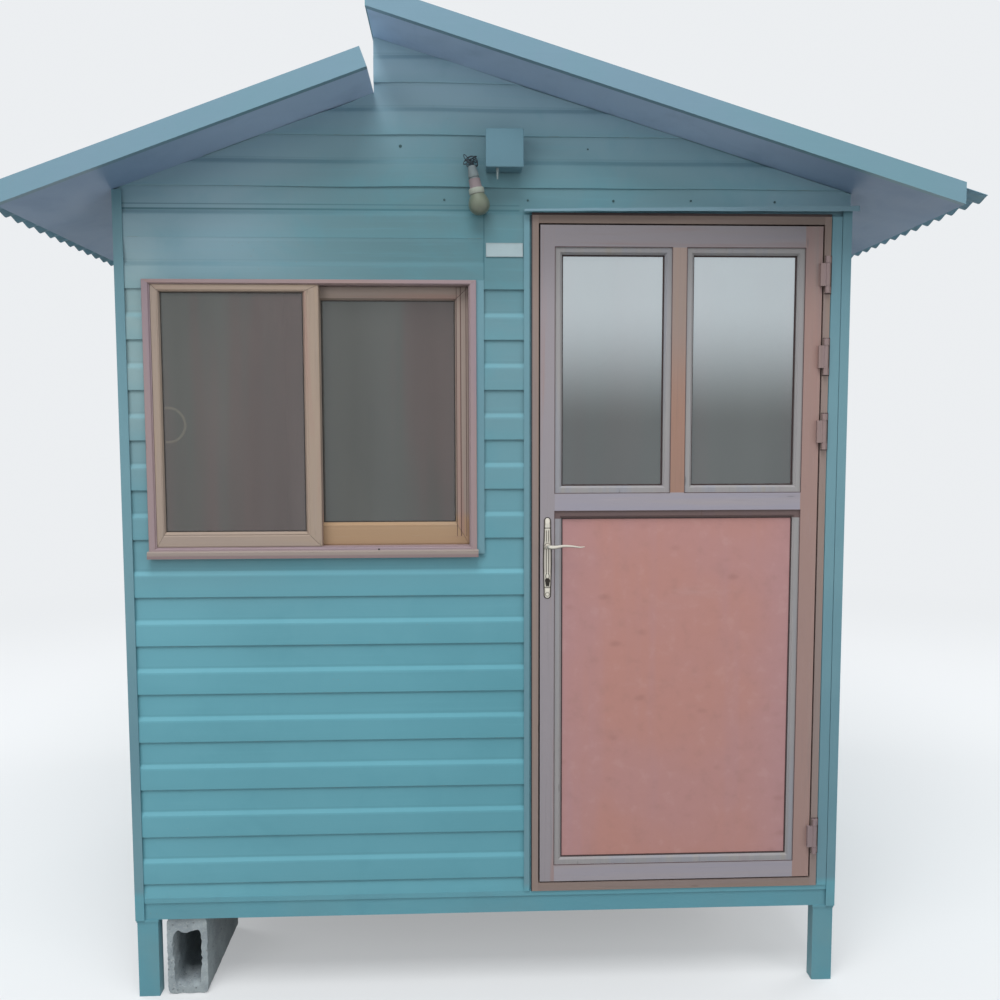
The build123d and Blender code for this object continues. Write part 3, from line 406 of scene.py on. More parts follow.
class Finish:
    """A material, or the world, in the making."""

    def __init__(self, name, kind="Material"):
        self.made = getattr(bpy.data, f"{kind.lower()}s").new(name)
        self.made.use_nodes = True
        self.tree = self.made.node_tree
        self.tree.nodes.clear()
        self.end = self.tree.nodes.new(f"ShaderNodeOutput{kind}")

    def node(self, kind, settings=None, sockets=None, output=0):
        """Adds a node: its settings first, then its sockets; gives one of its outputs."""
        made = self.tree.nodes.new(f"ShaderNode{kind}")
        for key, value in (settings or {}).items():
            setattr(made, key, value)
        for key, value in (sockets or {}).items():
            if isinstance(value, Value):
                self.tree.links.new(value.socket, made.inputs[key])
            else:
                made.inputs[key].default_value = value
        return Value(self, made.outputs[output])

    @functools.cached_property
    def place(self):
        """Object coordinates."""
        return self.node("TexCoord", output="Object")

    def axis(self, name):
        """One Object coordinate: X, Y or Z."""
        return self.node("SeparateXYZ", sockets={0: self.place}, output=name)

    def math(self, operation, *numbers):
        """One Math node."""
        return self.node("Math", {"operation": operation}, dict(enumerate(numbers)))

    def pattern(self, kind, sockets, reach, shift=0.0):
        """A texture on Object coordinates, which reach scales along each axis."""
        vector = self.place
        if reach:
            stretch = {"Vector": vector, "Scale": reach, "Location": (shift,) * 3}
            vector = self.node("Mapping", sockets=stretch)
        return self.node(kind, sockets={"Vector": vector, **sockets})

    def noise(self, scale=1.0, detail=4.0, roughness=0.5, distortion=0.0, reach=None, shift=0.0):
        """Soft noise from 0 to 1."""
        sockets = {"Scale": scale, "Detail": detail, "Roughness": roughness}
        return self.pattern("TexNoise", sockets | {"Distortion": distortion}, reach, shift)

    def cells(self, scale=1.0, reach=None):
        """Distance to the nearest of many scattered points."""
        return self.pattern("TexVoronoi", {"Scale": scale}, reach)

    def ramp(self, value, low, high):
        """0 below low and 1 above high, smooth between; low may be the higher one."""
        sockets = {"Value": value, 1: low, 2: high, 3: 0.0, 4: 1.0}
        if low > high:
            sockets = {"Value": value, 1: high, 2: low, 3: 1.0, 4: 0.0}
        return self.node("MapRange", {"interpolation_type": "SMOOTHSTEP"}, sockets)

    def apart(self, value, middle):
        """Distance of a value from a middle."""
        return self.math("ABSOLUTE", value - middle)

    def line(self, value, middle, half):
        """1 within half of the middle, falling to 0 at twice that distance."""
        return self.ramp(self.apart(value, middle), 2.0 * half, half)

    def mix(self, factor, first, second, blend="MIX"):
        """Blends two colours."""
        settings = {"data_type": "RGBA", "blend_type": blend}
        return self.node("Mix", settings, {0: factor, 6: first, 7: second}, output=2)

    def layers(self, tint, *coats):
        """Lays coats, each a pair of mask and colour, over a tint, one after another."""
        for mask, coat in coats:
            tint = self.mix(mask, tint, coat)
        return tint

    def attribute(self, name):
        """A number stored on the mesh."""
        return self.node("Attribute", {"attribute_name": name}, output="Fac")

    def bump(self, height, distance, strength):
        """Normal from a height in metres times distance."""
        sockets = {"Height": height, "Distance": distance, "Strength": strength}
        return self.node("Bump", sockets=sockets)

    def shader(self, kind, **sockets):
        """A shader; an underscore stands for a space in its sockets' names."""
        named = {key.replace("_", " "): value for key, value in sockets.items()}
        return self.node(kind, sockets=named)

    def blend(self, factor, first, second):
        """Mixes two shaders."""
        return self.node("MixShader", sockets={0: factor, 1: first, 2: second})

    def direct(self):
        """1 for what the camera, a mirror or glass sees, 0 for light thrown on other things."""
        seen = self.node("LightPath", output="Is Camera Ray")
        path = seen.socket.node
        for way in ("Is Glossy Ray", "Is Transmission Ray"):
            seen = self.math("MAXIMUM", seen, Value(self, path.outputs[way]))
        return seen

    def ended(self, shader):
        """Ends the material or world in a shader and gives it."""
        self.tree.links.new(shader.socket, self.end.inputs["Surface"])
        return self.made

    def close(self, tint, rough, normal, **others):
        """Ends the material in one Principled shader."""
        sockets = {"Base_Color": tint, "Roughness": rough, "Normal": normal}
        return self.ended(self.shader("BsdfPrincipled", **sockets, **others))


def shade(tone, factor, lift=0.0):
    """A linear colour times a factor, or one for each of red, green and blue, plus a lift."""
    factors = np.broadcast_to(factor, 3).tolist()
    return tuple(min(1.0, c * k + lift) for c, k in zip(tone, factors)) + (1.0,)


def front_only(f):
    """1 on the boards of the front wall and gable, 0 behind them."""
    return f.ramp(f.axis("Y"), *FRONT_FACE)


def weathered(f, tint, cloud, fresh, dull, high):
    """Boards' paint by its place: greyed upwards and to the left, and upwards also darkened as
    painted shade under the eaves; painted light at the top and under both eaves, painted haze on
    the front left of the window, pale in a patch low on the front, and painted shade in the gable's
    middle."""
    height, across, front = f.axis("Z"), f.axis("X"), front_only(f)
    # Upwards the paint greys and, as painted shade under the eaves, darkens
    upper = f.ramp(height, *GREY_SHADE_UP) * 0.85
    leftish = f.ramp(across, *GREYS_LEFT) * (0.10 + upper * 0.35)
    # Painted haze: a pale patch on the front's strip left of the window
    painted_haze = f.ramp(across, *HAZE_ACROSS) * f.ramp(height, *HAZE_FROM) * f.ramp(height, *HAZE_TO)
    pale_foot = f.ramp(across, *PALE_ACROSS) * f.ramp(height, *PALE_DOWN) * front
    # Where painted light lifts the shade under both eaves
    right_eave_light = f.ramp(across, *UNDER_RIGHT) * f.ramp(height, *UNDER_RIGHT_UP)
    left_eave_light = f.ramp(across, *UNDER_LEFT) * f.ramp(height, *UNDER_LEFT_UP) * 1.2
    tint = f.layers(
        tint,
        ((upper + leftish) * (0.45 + cloud), dull),
        # Painted light: a pale tint at the top of the gable
        (f.ramp(height, *TOP_LIGHT_UP) * 0.85, high),
        (painted_haze * front * 0.75, linear(PAINTED_HAZE)),
        (pale_foot * 0.32, shade(fresh, 1.30)),
        ((right_eave_light + left_eave_light) * front * 0.38, high),
    )
    # Painted shade: darker paint in the gable's middle, below the roof
    gable_shade = f.ramp(f.apart(across, SHADE_MIDDLE), *SHADE_REACH) * f.ramp(height, *SHADE_FROM)
    return f.mix(gable_shade * f.ramp(height, *SHADE_TO) * front, tint, GABLE_SHADE, "MULTIPLY")


def lapped(f, tint, fresh, deep, dust):
    """Boards' paint by its place in the board: painted shade under the lap, painted highlights on
    the lower bevels and painted shade on the higher ones, a thin painted shade line over each
    bevel, dust at the foot, with the gable's seam and the smooth patch's edge."""
    board, height, across = f.attribute("board"), f.axis("Z"), f.axis("X")
    # dark is the colour of painted shade and of the seams, bright that of painted highlights
    dark, bright = shade(deep, 0.50), shade(fresh, 1.35, 0.03)
    high_up = f.ramp(height, *HIGH_LAPS)
    faint = f.ramp(height, *FAINT_LAP[:2]) * f.ramp(height, *FAINT_LAP[:1:-1])
    # How strong the painted shade under each lap is: patchy, and weaker high up
    worn = (f.ramp(f.noise(8.0, detail=3.0), 0.2, 0.7) * 0.20 + 0.16) * (1.0 - high_up * 0.55)
    bevel = f.ramp(board, 0.47, 0.495) * f.ramp(board, 0.545, 0.515)
    # High up the bevels take painted shade in place of painted highlights
    shaded_bevel = high_up * (1.0 - faint)
    wide = f.line(height, WIDE_BEVEL, 0.02)
    seam = f.line(height, SEAM, 0.0018) * 0.8 + f.line(height, SEAM + 0.0145, 0.0012) * 0.6
    upright = f.line(across, PATCH_LEFT, 0.0013) * f.ramp(height, PATCH_FOOT, PATCH_FOOT + 0.01)
    seams = seam * f.ramp(across, *SEAM_END) + upright * f.ramp(height, SEAM + 0.004, SEAM) * 0.7
    lip = f.ramp(board, 0.985, 0.998) * f.ramp(f.noise(22.0), 0.56, 0.66)
    return f.layers(
        tint,
        # Painted shade under the lap
        (f.ramp(board, 0.075, 0.0) * worn * (1.0 - faint * 0.85), dark),
        (f.ramp(board, 0.70, 0.99) * 0.16, deep),
        # Painted highlights on the bevels, strongest on the wide board's; a thin painted shade line
        # over each bevel, and painted shade on the high bevels
        (bevel * wide * 0.30, bright),
        (bevel * (1.0 - wide) * (1.0 - shaded_bevel) * 0.16, bright),
        (f.line(board, 0.458, 0.009) * 0.13, dark),
        (bevel * shaded_bevel * 0.22, dark),
        (seams * front_only(f), dark),
        (lip * 0.35, dust),
    )


def teal_paint(name, fresh, deep, dust, along="X", dull=None, high=None, low=None, inner=None):
    """Brushed-on gloss paint: mottled, streaked along its brush marks, dusty low down and chipped.

    With a dull colour it is the paint of boards, greyed upwards and darkened there as painted shade
    under the eaves: it also reads their board attribute, which runs from 0 under the lap above,
    over
    0.5 at the bevel, to 1 at the board's own foot; high is the pale colour of the painted light on
    the highest ones and under the eaves. low is the colour of a trim's foot strip, inner the colour
    of a soffit towards the cabin's middle.
    """
    f = Finish(name)
    fresh, deep, dust = linear(fresh), linear(deep), linear(dust)
    reach = {"X": (2.0, 30.0, 60.0), "Z": (60.0, 30.0, 2.0), "Y": (60.0, 2.0, 60.0)}[along]
    cloud = f.noise(0.9, detail=3.0, roughness=0.55)
    patch = f.noise(5.5, roughness=0.6, distortion=0.5)
    brush = f.noise(detail=5.0, roughness=0.7, reach=reach)
    height = f.axis("Z")
    tint = f.mix(f.ramp(cloud, 0.40, 0.66) * 0.75, fresh, deep)
    if dull:
        tint = weathered(f, tint, cloud, fresh, linear(dull), linear(high))
    if low:
        tint = f.mix(f.ramp(height, *FOOT_STRIP), tint, linear(low))
    if inner:
        tint = f.mix(f.ramp(f.apart(f.axis("X"), 0.0), *INNER_SOFFIT), tint, linear(inner))
    low_dust = f.ramp(height, *MUDDY) * f.ramp(f.noise(4.0, detail=6.0), 0.38, 0.70)
    splash = f.ramp(f.cells(46.0), 0.13, 0.06) * f.ramp(f.noise(3.2), 0.58, 0.7)
    tint = f.layers(
        tint,
        (f.ramp(patch, 0.45, 0.75) * 0.26, deep),
        (f.ramp(brush, 0.52, 0.8) * 0.16, shade(fresh, 1.16, 0.02)),
        (low_dust * 0.26, dust),
        (splash * 0.3, dust),
    )
    if dull:
        tint = lapped(f, tint, fresh, deep, dust)
    chip_noise = f.noise(38.0, detail=6.0, roughness=0.7, distortion=0.4)
    chips = f.ramp(chip_noise, 0.745, 0.775) * f.ramp(f.noise(2.6, detail=2.0), 0.52, 0.62)
    tint = f.mix(chips * 0.7, tint, CHIPPED)
    dents = f.noise(5.0, detail=1.0) * 0.7 + f.noise(240.0, detail=2.0) * 0.02 + brush * 0.10
    rough = f.ramp(patch, 0.2, 0.9) * 0.14 + 0.40
    return f.close(tint, rough, f.bump(dents - chips * 0.12, 0.0032, 0.8))


def foil(name, tone, rose, along, grey=0.5, turns_to=None, sooty=0.0, shadow=None, lower=None):
    """Faded wood foil: fine grain along the member, rose and tan streaks, pale wear, tiny knots.

    turns_to is a colour that it takes on towards the door's hinge side, sooty how much painted
    shade darkens it under the eaves, shadow the lowest and highest place of a rose-brown band of
    painted shadow, lower a colour and the heights between which it takes over from the main one,
    going down.
    """
    f = Finish(name)
    tone, rose, height = linear(tone), linear(rose), f.axis("Z")
    ground, streaks = tone, shade(tone, (0.90, 0.95, 1.08))
    if turns_to:
        low_x, high_x = span("door_stiles", 0)
        ground = f.mix(f.ramp(f.axis("X"), low_x + 0.35, high_x - 0.08), tone, linear(turns_to))
    if lower:
        ground = f.mix(f.ramp(height, lower[2], lower[1]), tone, linear(lower[0]))
    if turns_to or lower:
        streaks = ground
    reach = {"X": (1.6, 60.0, 60.0), "Z": (60.0, 60.0, 1.6)}[along]
    wide = {"X": (0.7, 9.0, 16.0), "Z": (16.0, 9.0, 0.7)}[along]
    streak = f.noise(roughness=0.6, distortion=0.4, reach=wide, shift=3.1)
    grain = f.noise(detail=6.0, roughness=0.72, distortion=0.6, reach=reach)
    fine = f.noise(detail=3.0, roughness=0.7, reach=[4.0 * r for r in reach])
    olive = f.noise(detail=3.0, roughness=0.6, reach=wide, shift=9.7)
    knot = f.ramp(f.cells(reach=[max(5.0, 0.45 * r) for r in reach]), 0.10, 0.03)
    dirt = f.ramp(f.noise(3.4, detail=7.0, roughness=0.65), 0.58, 0.82)
    scratches = f.ramp(f.noise(120.0, roughness=0.8), 0.75, 0.81)
    tint = f.layers(
        ground,
        (f.ramp(streak, 0.44, 0.62) * (0.45 + 0.4 * grey), streaks),
        (f.ramp(streak, 0.46, 0.32) * 0.60, rose),
        (f.ramp(olive, 0.56, 0.72) * 0.5, shade(tone, (1.06, 0.98, 0.80))),
        (f.ramp(grain, 0.52, 0.76) * 0.30, shade(tone, 0.58)),
        (f.ramp(fine, 0.56, 0.75) * 0.20, shade(tone, 1.25, 0.02)),
        (knot * 0.5, shade(tone, 0.35)),
    )
    # Painted shade: darker towards the head, under the drip and eaves
    if sooty:
        tint = f.mix(f.ramp(height, *EAVES_SHADE_UP) * sooty, tint, shade(tone, 0.42))
    # Painted shadow: a rose-brown band where a bead faces down into shade
    if shadow:
        foot, head = shadow
        band = f.ramp(height, foot, foot + 0.003) * f.ramp(height, head, head - 0.003)
        tint = f.mix(band * 0.85, tint, linear(SHADOW_BROWN))
    tint = f.layers(tint, (dirt * 0.20, FOIL_DIRT), (scratches * 0.35, FOIL_SCRATCH))
    rough = 0.44 + grain * 0.14 + dirt * 0.12
    return f.close(tint, rough, f.bump(grain * 0.5 + fine * 0.3, 0.0006, 0.7))


def panel_foil(name, tone, rose):
    """Faded salmon panel: cloudy patches, mauve at its sides, faint bands and soft lying flecks."""
    f = Finish(name)
    tone, rose = linear(tone), linear(rose)
    cloud = f.noise(2.0, detail=3.0, roughness=0.55)
    band = f.noise(detail=3.0, roughness=0.6, reach=(9.0, 1.0, 0.6))
    mottle = f.noise(20.0, roughness=0.6)
    side = f.apart(f.axis("X"), sum(span("door_panel", 0)) / 2)
    fleck = f.ramp(f.cells(reach=(9.0, 9.0, 17.0)), 0.26, 0.04)
    dots = f.ramp(f.cells(reach=(40.0, 40.0, 80.0)), 0.12, 0.05)
    wipe = f.noise(detail=6.0, roughness=0.7, reach=(2.0, 2.0, 9.0))
    mauve_mask = f.ramp(side, 0.20, 0.38) * 0.55 + f.ramp(band, 0.5, 0.7) * 0.25
    tint = f.layers(
        tone,
        (f.ramp(cloud, 0.38, 0.64), shade(tone, (1.03, 0.98, 0.90))),
        (mauve_mask, shade(tone, (0.92, 1.04, 1.20))),
        (f.ramp(mottle, 0.50, 0.76) * 0.16, shade(rose, 0.72)),
        (f.ramp(mottle, 0.46, 0.28) * 0.12, PANEL_PALE),
        (fleck * f.ramp(f.noise(6.0, detail=2.0), 0.46, 0.62) * 0.34, PANEL_FLECK),
        (dots * f.ramp(f.noise(12.0), 0.52, 0.62) * 0.20, PANEL_DOT),
        (f.ramp(wipe, 0.58, 0.78) * 0.12, PANEL_WIPE),
    )
    normal = f.bump(mottle * 0.3 + f.noise(3.0, detail=1.0), 0.0012, 0.6)
    return f.close(tint, 0.48 + mottle * 0.14, normal)


def sill_foil(name, tone, foot_z, head_z):
    """Foil of the window's sill: a painted highlight on its upper edge over a rose lip darkened as
    painted shade.
    """
    f = Finish(name)
    tone = linear(tone)
    grain = f.noise(detail=6.0, roughness=0.7, reach=(1.6, 60.0, 60.0))
    tall = head_z - foot_z
    # Painted highlight on the sill's upper edge; below it painted shade darkens the lip
    upper = f.ramp(f.axis("Z"), foot_z + 0.30 * tall, foot_z + 0.55 * tall)
    tint = f.layers(
        shade(tone, (0.76, 0.76, 0.75)),
        (upper, shade(tone, (0.98, 1.10, 0.97))),
        (f.ramp(grain, 0.50, 0.76) * 0.35, shade(tone, 0.62)),
    )
    return f.close(tint, 0.45 + grain * 0.2, f.bump(grain, 0.0005, 0.6))


def plain_finish(name, tone, roughness, metallic=0.0, mottle=0.25, grain=90.0, coat=0.0, glow=0.0):
    """Small fitting's finish: one tone with soft mottling, grime in patches and a fine relief.

    glow is painted light: the finish shines by itself as much as given, lit by no lamp.
    """
    f = Finish(name)
    tone = linear(tone)
    patch = f.noise(grain * 0.22, detail=5.0, roughness=0.6)
    fine = f.noise(grain, roughness=0.6)
    grime = shade(tone, 0.5)
    patches = (f.ramp(patch, 0.40, 0.74) * mottle, grime)
    tint = f.layers(tone, patches, (f.ramp(fine, 0.62, 0.78) * mottle * 0.7, grime))
    # Painted light: an emission that brightens the finish
    others = {"Emission_Color": tint, "Emission_Strength": glow} if glow else {}
    others |= {"Metallic": metallic, "Coat_Weight": coat}
    return f.close(tint, roughness + patch * 0.12, f.bump(fine, 0.0004, 0.6), **others)


def small(name):
    """Finish of a small part, from the list of them."""
    tone, roughness, others = SMALL_FINISHES[name]
    return plain_finish(name, tone, roughness, **others)


def coated_glass(name, tint, mirror, film, bands=0.0, head_reflection=0.0):
    """Reflecting glass: a clear tinted pane, a mirror coat as strong as given, and a film of dust.

    bands makes the coat uneven across the pane, fuller adds to it towards the pane's head as a
    painted reflection.
    """
    f = Finish(name)
    clear = f.shader("BsdfTransparent", Color=linear(tint))
    gloss = f.shader("BsdfAnisotropic", Color=MIRROR, Roughness=0.03)
    edge = f.node("Fresnel", sockets={"IOR": 1.5})
    worn = f.noise(detail=2.0, reach=(9.0, 9.0, 0.5))
    # Painted reflection: the mirror coat grows towards the pane's head
    coat = mirror * (1.0 + (worn - 0.5) * bands) + f.ramp(f.axis("Z"), *PANE_HEAD) * head_reflection
    shine = f.blend(edge * (1.0 - mirror) + coat, clear, gloss)
    grey, mauve = (f.shader("BsdfDiffuse", Color=dusty) for dusty in (DUST_GREY, DUST_MAUVE))
    stripe = f.ramp(f.noise(detail=3.0, reach=(7.0, 1.0, 0.35)), 0.47, 0.60) * min(1.0, bands)
    smear = f.noise(detail=5.0, roughness=0.6, distortion=0.4, reach=(3.0, 3.0, 1.3))
    specks = f.ramp(f.cells(110.0), 0.10, 0.04) * f.ramp(f.noise(6.0), 0.50, 0.64)
    veil = f.ramp(smear, 0.15, 0.95) * (film * 0.5) + film * 0.75 + specks * 0.08
    return f.ended(f.blend(veil, shine, f.blend(stripe, grey, mauve)))


def cement(name):
    """Rough cement: pale grey with darker pits, sand grains and a chalky rim."""
    f = Finish(name)
    cloud = f.noise(9.0, detail=6.0, roughness=0.65)
    sand = f.noise(210.0, detail=3.0, roughness=0.7)
    pits = f.ramp(f.cells(62.0), 0.26, 0.05)
    tint = f.layers(
        linear(CEMENT),
        (f.ramp(cloud, 0.3, 0.7), linear(CEMENT_DARK)),
        (f.ramp(sand, 0.52, 0.74) * 0.55, linear(SAND)),
        (pits * 0.6, linear(PIT)),
    )
    return f.close(tint, 0.92, f.bump(sand * 0.35 + cloud * 0.9 - pits * 0.5, 0.003, 0.9))


def boarded_floor(name):
    """Plain floor boards: bands along the cabin's depth with a worn brown grain."""
    f = Finish(name)
    joint = f.ramp(f.math("PINGPONG", f.axis("X"), 0.06), 0.0035, 0.0010)
    grain = f.noise(detail=6.0, roughness=0.7, reach=(50.0, 2.0, 10.0))
    worn = (f.ramp(grain, 0.3, 0.75), linear(FLOOR_DARK))
    tint = f.layers(linear(FLOOR_BROWN), worn, (joint, linear(FLOOR_JOINT)))
    return f.close(tint, 0.7, f.bump(grain - joint, 0.0015, 0.6))


# Mesh helpers


def grid_faces(rows, columns, wrap_rows=False, wrap_columns=False):
    """Quads of a grid of points, row by row; a wrapped way joins its last line to its first."""
    r = np.arange(rows if wrap_rows else rows - 1)
    c = np.arange(columns if wrap_columns else columns - 1)
    r, c = np.meshgrid(r, c, indexing="ij")
    here, below = r * columns, (r + 1) % rows * columns
    beside = (c + 1) % columns
    return np.stack([here + c, here + beside, below + beside, below + c], -1).reshape(-1, 4)


def slab(outer, inner):
    """Closed solid between two grids of points of the same size, walled along its four borders."""
    rows, columns = outer.shape[:2]
    count = rows * columns
    top = grid_faces(rows, columns)
    index = np.arange(count).reshape(rows, columns)
    border = np.concatenate([index[0, :], index[1:, -1], index[-1, -2::-1], index[-2:0:-1, 0]])
    following = np.roll(border, -1)
    walls = np.stack([border, following, following + count, border + count], -1)
    points = np.concatenate([outer.reshape(-1, 3), inner.reshape(-1, 3)])
    return points, np.concatenate([top, top[:, ::-1] + count, walls])


def joined(*parts):
    """One list of points and faces from several."""
    points, faces, start = [], [], 0
    for part_points, part_faces in parts:
        points.append(part_points)
        faces.append(part_faces + start)
        start += len(part_points)
    return np.concatenate(points), np.concatenate(faces)


def tube(path, radii, sides=12, up=(0.0, 0.0, 1.0)):
    """Closed round bar along a path: rings across its direction, with a point at each end.

    A radius may be a pair: across the path and along up.
    """
    path, radii = np.asarray(path, float), np.asarray(radii, float)
    radii = np.broadcast_to(radii.reshape(len(path), -1), (len(path), 2))
    along = np.gradient(path, axis=0)
    along /= np.linalg.norm(along, axis=1, keepdims=True)
    side = np.cross(along, np.asarray(up, float))
    side /= np.linalg.norm(side, axis=1, keepdims=True)
    rise = np.cross(side, along)
    turn = np.linspace(0, 2 * np.pi, sides, endpoint=False)
    ring = np.cos(turn)[None, :, None] * side[:, None] * radii[:, None, :1]
    ring = ring + np.sin(turn)[None, :, None] * rise[:, None] * radii[:, None, 1:]
    rings = path[:, None] + ring
    ends = [np.repeat(path[i][None, None], sides, axis=1) for i in (0, -1)]
    rings = np.concatenate([ends[0], rings, ends[1]])
    return rings.reshape(-1, 3), grid_faces(len(path) + 2, sides, wrap_columns=True)


def turned(profile, origin, axis, sides=28):
    """Solid of revolution: a profile of (radius, distance along the axis) turned round the axis."""
    axis = np.asarray(axis, float) / np.linalg.norm(axis)
    side = np.cross(axis, [1.0, 0.0, 0.0] if abs(axis[0]) < 0.9 else [0.0, 1.0, 0.0])
    side /= np.linalg.norm(side)
    turn = np.linspace(0, 2 * np.pi, sides, endpoint=False)
    ring = np.cos(turn)[:, None] * side + np.sin(turn)[:, None] * np.cross(axis, side)
    radius, along = np.asarray(profile, float).T[:, :, None, None]
    points = np.asarray(origin, float) + radius * ring + along * axis
    return points.reshape(-1, 3), grid_faces(len(profile), sides, wrap_columns=True)


def turned_ring(section, origin, axis, sides=28):
    """Ring of revolution: a closed section of (radius, distance along the axis) turned round it."""
    points, _ = turned(section, origin, axis, sides)
    return points, grid_faces(len(section), sides, wrap_rows=True, wrap_columns=True)


def opening_corners(left, right, foot, head):
    """Corners of an opening, from its left foot round to its left head."""
    return np.array([[left, foot], [right, foot], [right, head], [left, head]])


INWARD = opening_corners(1, -1, 1, -1)


def mitred_ring(left, right, foot, head, section):
    """Frame round an opening with mitred corners: a closed section of (inset, depth) points.

    The inset is measured into the opening, the depth is the place along Y.
    """
    inset, depth = np.asarray(section, float).T
    line = opening_corners(left, right, foot, head)[:, None] + INWARD[:, None] * inset[:, None]
    points = np.stack([line[..., 0], np.broadcast_to(depth, line.shape[:2]), line[..., 1]], -1)
    return points.reshape(-1, 3), grid_faces(4, len(section), wrap_rows=True, wrap_columns=True)


def mitred_bars(places, widths, section, gap=0.2 * MM):
    """Four bars round an opening: foot, right, head and left, and 1 for each face of an upright.

    places are the frame's left, right, foot and head, widths the bars' in the same order. Each end
    lies on the line from outer to inner corner: corner + share of the width * t, for the section's
    closed list of (t, depth); the bars stay apart by twice the gap.
    """
    outer, step = opening_corners(*places), INWARD * opening_corners(*widths)
    t, y = np.asarray(section, float).T
    bars = []
    for k in range(4):
        ends = []
        following = (k + 1) % 4
        way = outer[following] - outer[k]
        way = way / np.linalg.norm(way)
        for corner, inward in ((k, 1), (following, -1)):
            line = outer[corner] + step[corner] * t[:, None] + inward * gap * way
            ends.append(np.stack([line[:, 0], y, line[:, 1]], -1))
        caps = [np.repeat(end.mean(0)[None], len(t), axis=0) for end in ends]
        rings = np.stack([caps[0], *ends, caps[1]])
        bars.append((rings.reshape(-1, 3), grid_faces(4, len(t), wrap_columns=True)))
    upright = np.concatenate([np.full(len(faces), k % 2) for k, (_, faces) in enumerate(bars)])
    return joined(*bars), upright


def curve_through(places, count):
    """Smooth line through a few places: between two of them the cubic whose slope at each place is
    half the way from the place before to the place after. Extra columns run along as well."""
    places = np.asarray(places, float)
    slopes = np.gradient(places, axis=0)
    s = np.linspace(0, len(places) - 1, count)
    i = np.minimum(s.astype(int), len(places) - 2)
    t = (s - i)[:, None]
    start, end, rise, fall = places[i], places[i + 1], slopes[i], slopes[i + 1]
    return (
        (2 * t**3 - 3 * t**2 + 1) * start
        + (t**3 - 2 * t**2 + t) * rise
        + (3 * t**2 - 2 * t**3) * end
        + (t**3 - t**2) * fall
    )


def soft_box(low, high, radius, steps=3):
    """Box with rounded edges: a sphere of that radius, pulled apart to the eight corners."""
    low, high = np.asarray(low, float), np.asarray(high, float)
    middle, half = (low + high) / 2, (high - low) / 2 - radius
    quarter = np.linspace(0, np.pi / 2, steps + 1)
    turn = np.concatenate([quarter + k * np.pi / 2 for k in range(4)])
    sign_x = np.repeat([1, -1, -1, 1], steps + 1)
    sign_y = np.repeat([1, 1, -1, -1], steps + 1)
    rise = np.concatenate([quarter - np.pi / 2, quarter])
    sign_z = np.repeat([-1, 1], steps + 1)
    flat = np.cos(rise)[:, None]
    x = radius * flat * np.cos(turn) + half[0] * sign_x
    y = radius * flat * np.sin(turn) + half[1] * sign_y
    z = np.broadcast_to(radius * np.sin(rise)[:, None] + half[2] * sign_z[:, None], x.shape)
    points = np.stack([x, y, z], -1)
    top = points[-1:].copy()
    top[..., :2] = 0
    foot = points[:1].copy()
    foot[..., :2] = 0
    points = np.concatenate([foot, points, top]) + middle
    return points.reshape(-1, 3), grid_faces(len(rise) + 2, len(turn), wrap_columns=True)


def ripple(points, size, seed):
    """Smooth noise from -1 to 1: a mean of sine waves in random directions, about one size long."""
    rng = np.random.default_rng(seed)
    directions = rng.normal(size=(RIPPLE_WAVES, 3))
    directions /= np.linalg.norm(directions, axis=1, keepdims=True)
    lengths = size * rng.uniform(0.6, 1.8, RIPPLE_WAVES)
    phases = rng.uniform(0, 2 * np.pi, RIPPLE_WAVES)
    turns = points @ (directions / lengths[:, None]).T * 2 * np.pi + phases
    return np.sin(turns).mean(axis=-1) * 1.8


def piece(name, shape, body, material, slot, smooth=None, replaces=(), numbers=None, second=None):
    """Adds a closed mesh to the scene, welds its doubles, turns its faces outward and lets it ride.

    numbers are attributes with one value for each point, second another material and a list with 1
    for each face that it covers.
    """
    points, faces = shape
    mesh = bpy.data.meshes.new(name)
    mesh.from_pydata(points.tolist(), [], faces.tolist())
    mesh.materials.append(material)
    if second:
        mesh.materials.append(second[0])
        mesh.polygons.foreach_set("material_index", np.asarray(second[1], np.int32))
    for key, values in (numbers or {}).items():
        store = mesh.attributes.new(key, "FLOAT", "POINT")
        store.data.foreach_set("value", np.asarray(values, np.float32).ravel())
    work = bmesh.new()
    work.from_mesh(mesh)
    bmesh.ops.remove_doubles(work, verts=work.verts, dist=1e-6)
    bmesh.ops.dissolve_degenerate(work, edges=work.edges, dist=1e-7)
    bmesh.ops.recalc_face_normals(work, faces=work.faces)
    work.to_mesh(mesh)
    work.free()
    made = bpy.data.objects.new(name, mesh)
    bpy.context.scene.collection.objects.link(made)
    if smooth is not None:
        mesh.shade_smooth()
        mesh.set_sharp_from_angle(angle=math.radians(smooth))
    if replaces:
        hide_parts(*replaces)
    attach(made, body)


def dress(material, *nodes):
    """Gives carried-over nodes a finish in their objects' own material slots."""
    for node in nodes:
        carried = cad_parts[node]
        if not carried.material_slots:
            carried.data.materials.append(None)
        for material_slot in carried.material_slots:
            material_slot.link = "OBJECT"
            material_slot.material = material


# Lapped boards


HALVES = (
    (STEP_X, WALL_RIGHT, RIGHT_TOP, roof_underside),
    (WALL_LEFT, STEP_X, LEFT_TOP, left_underside),
)


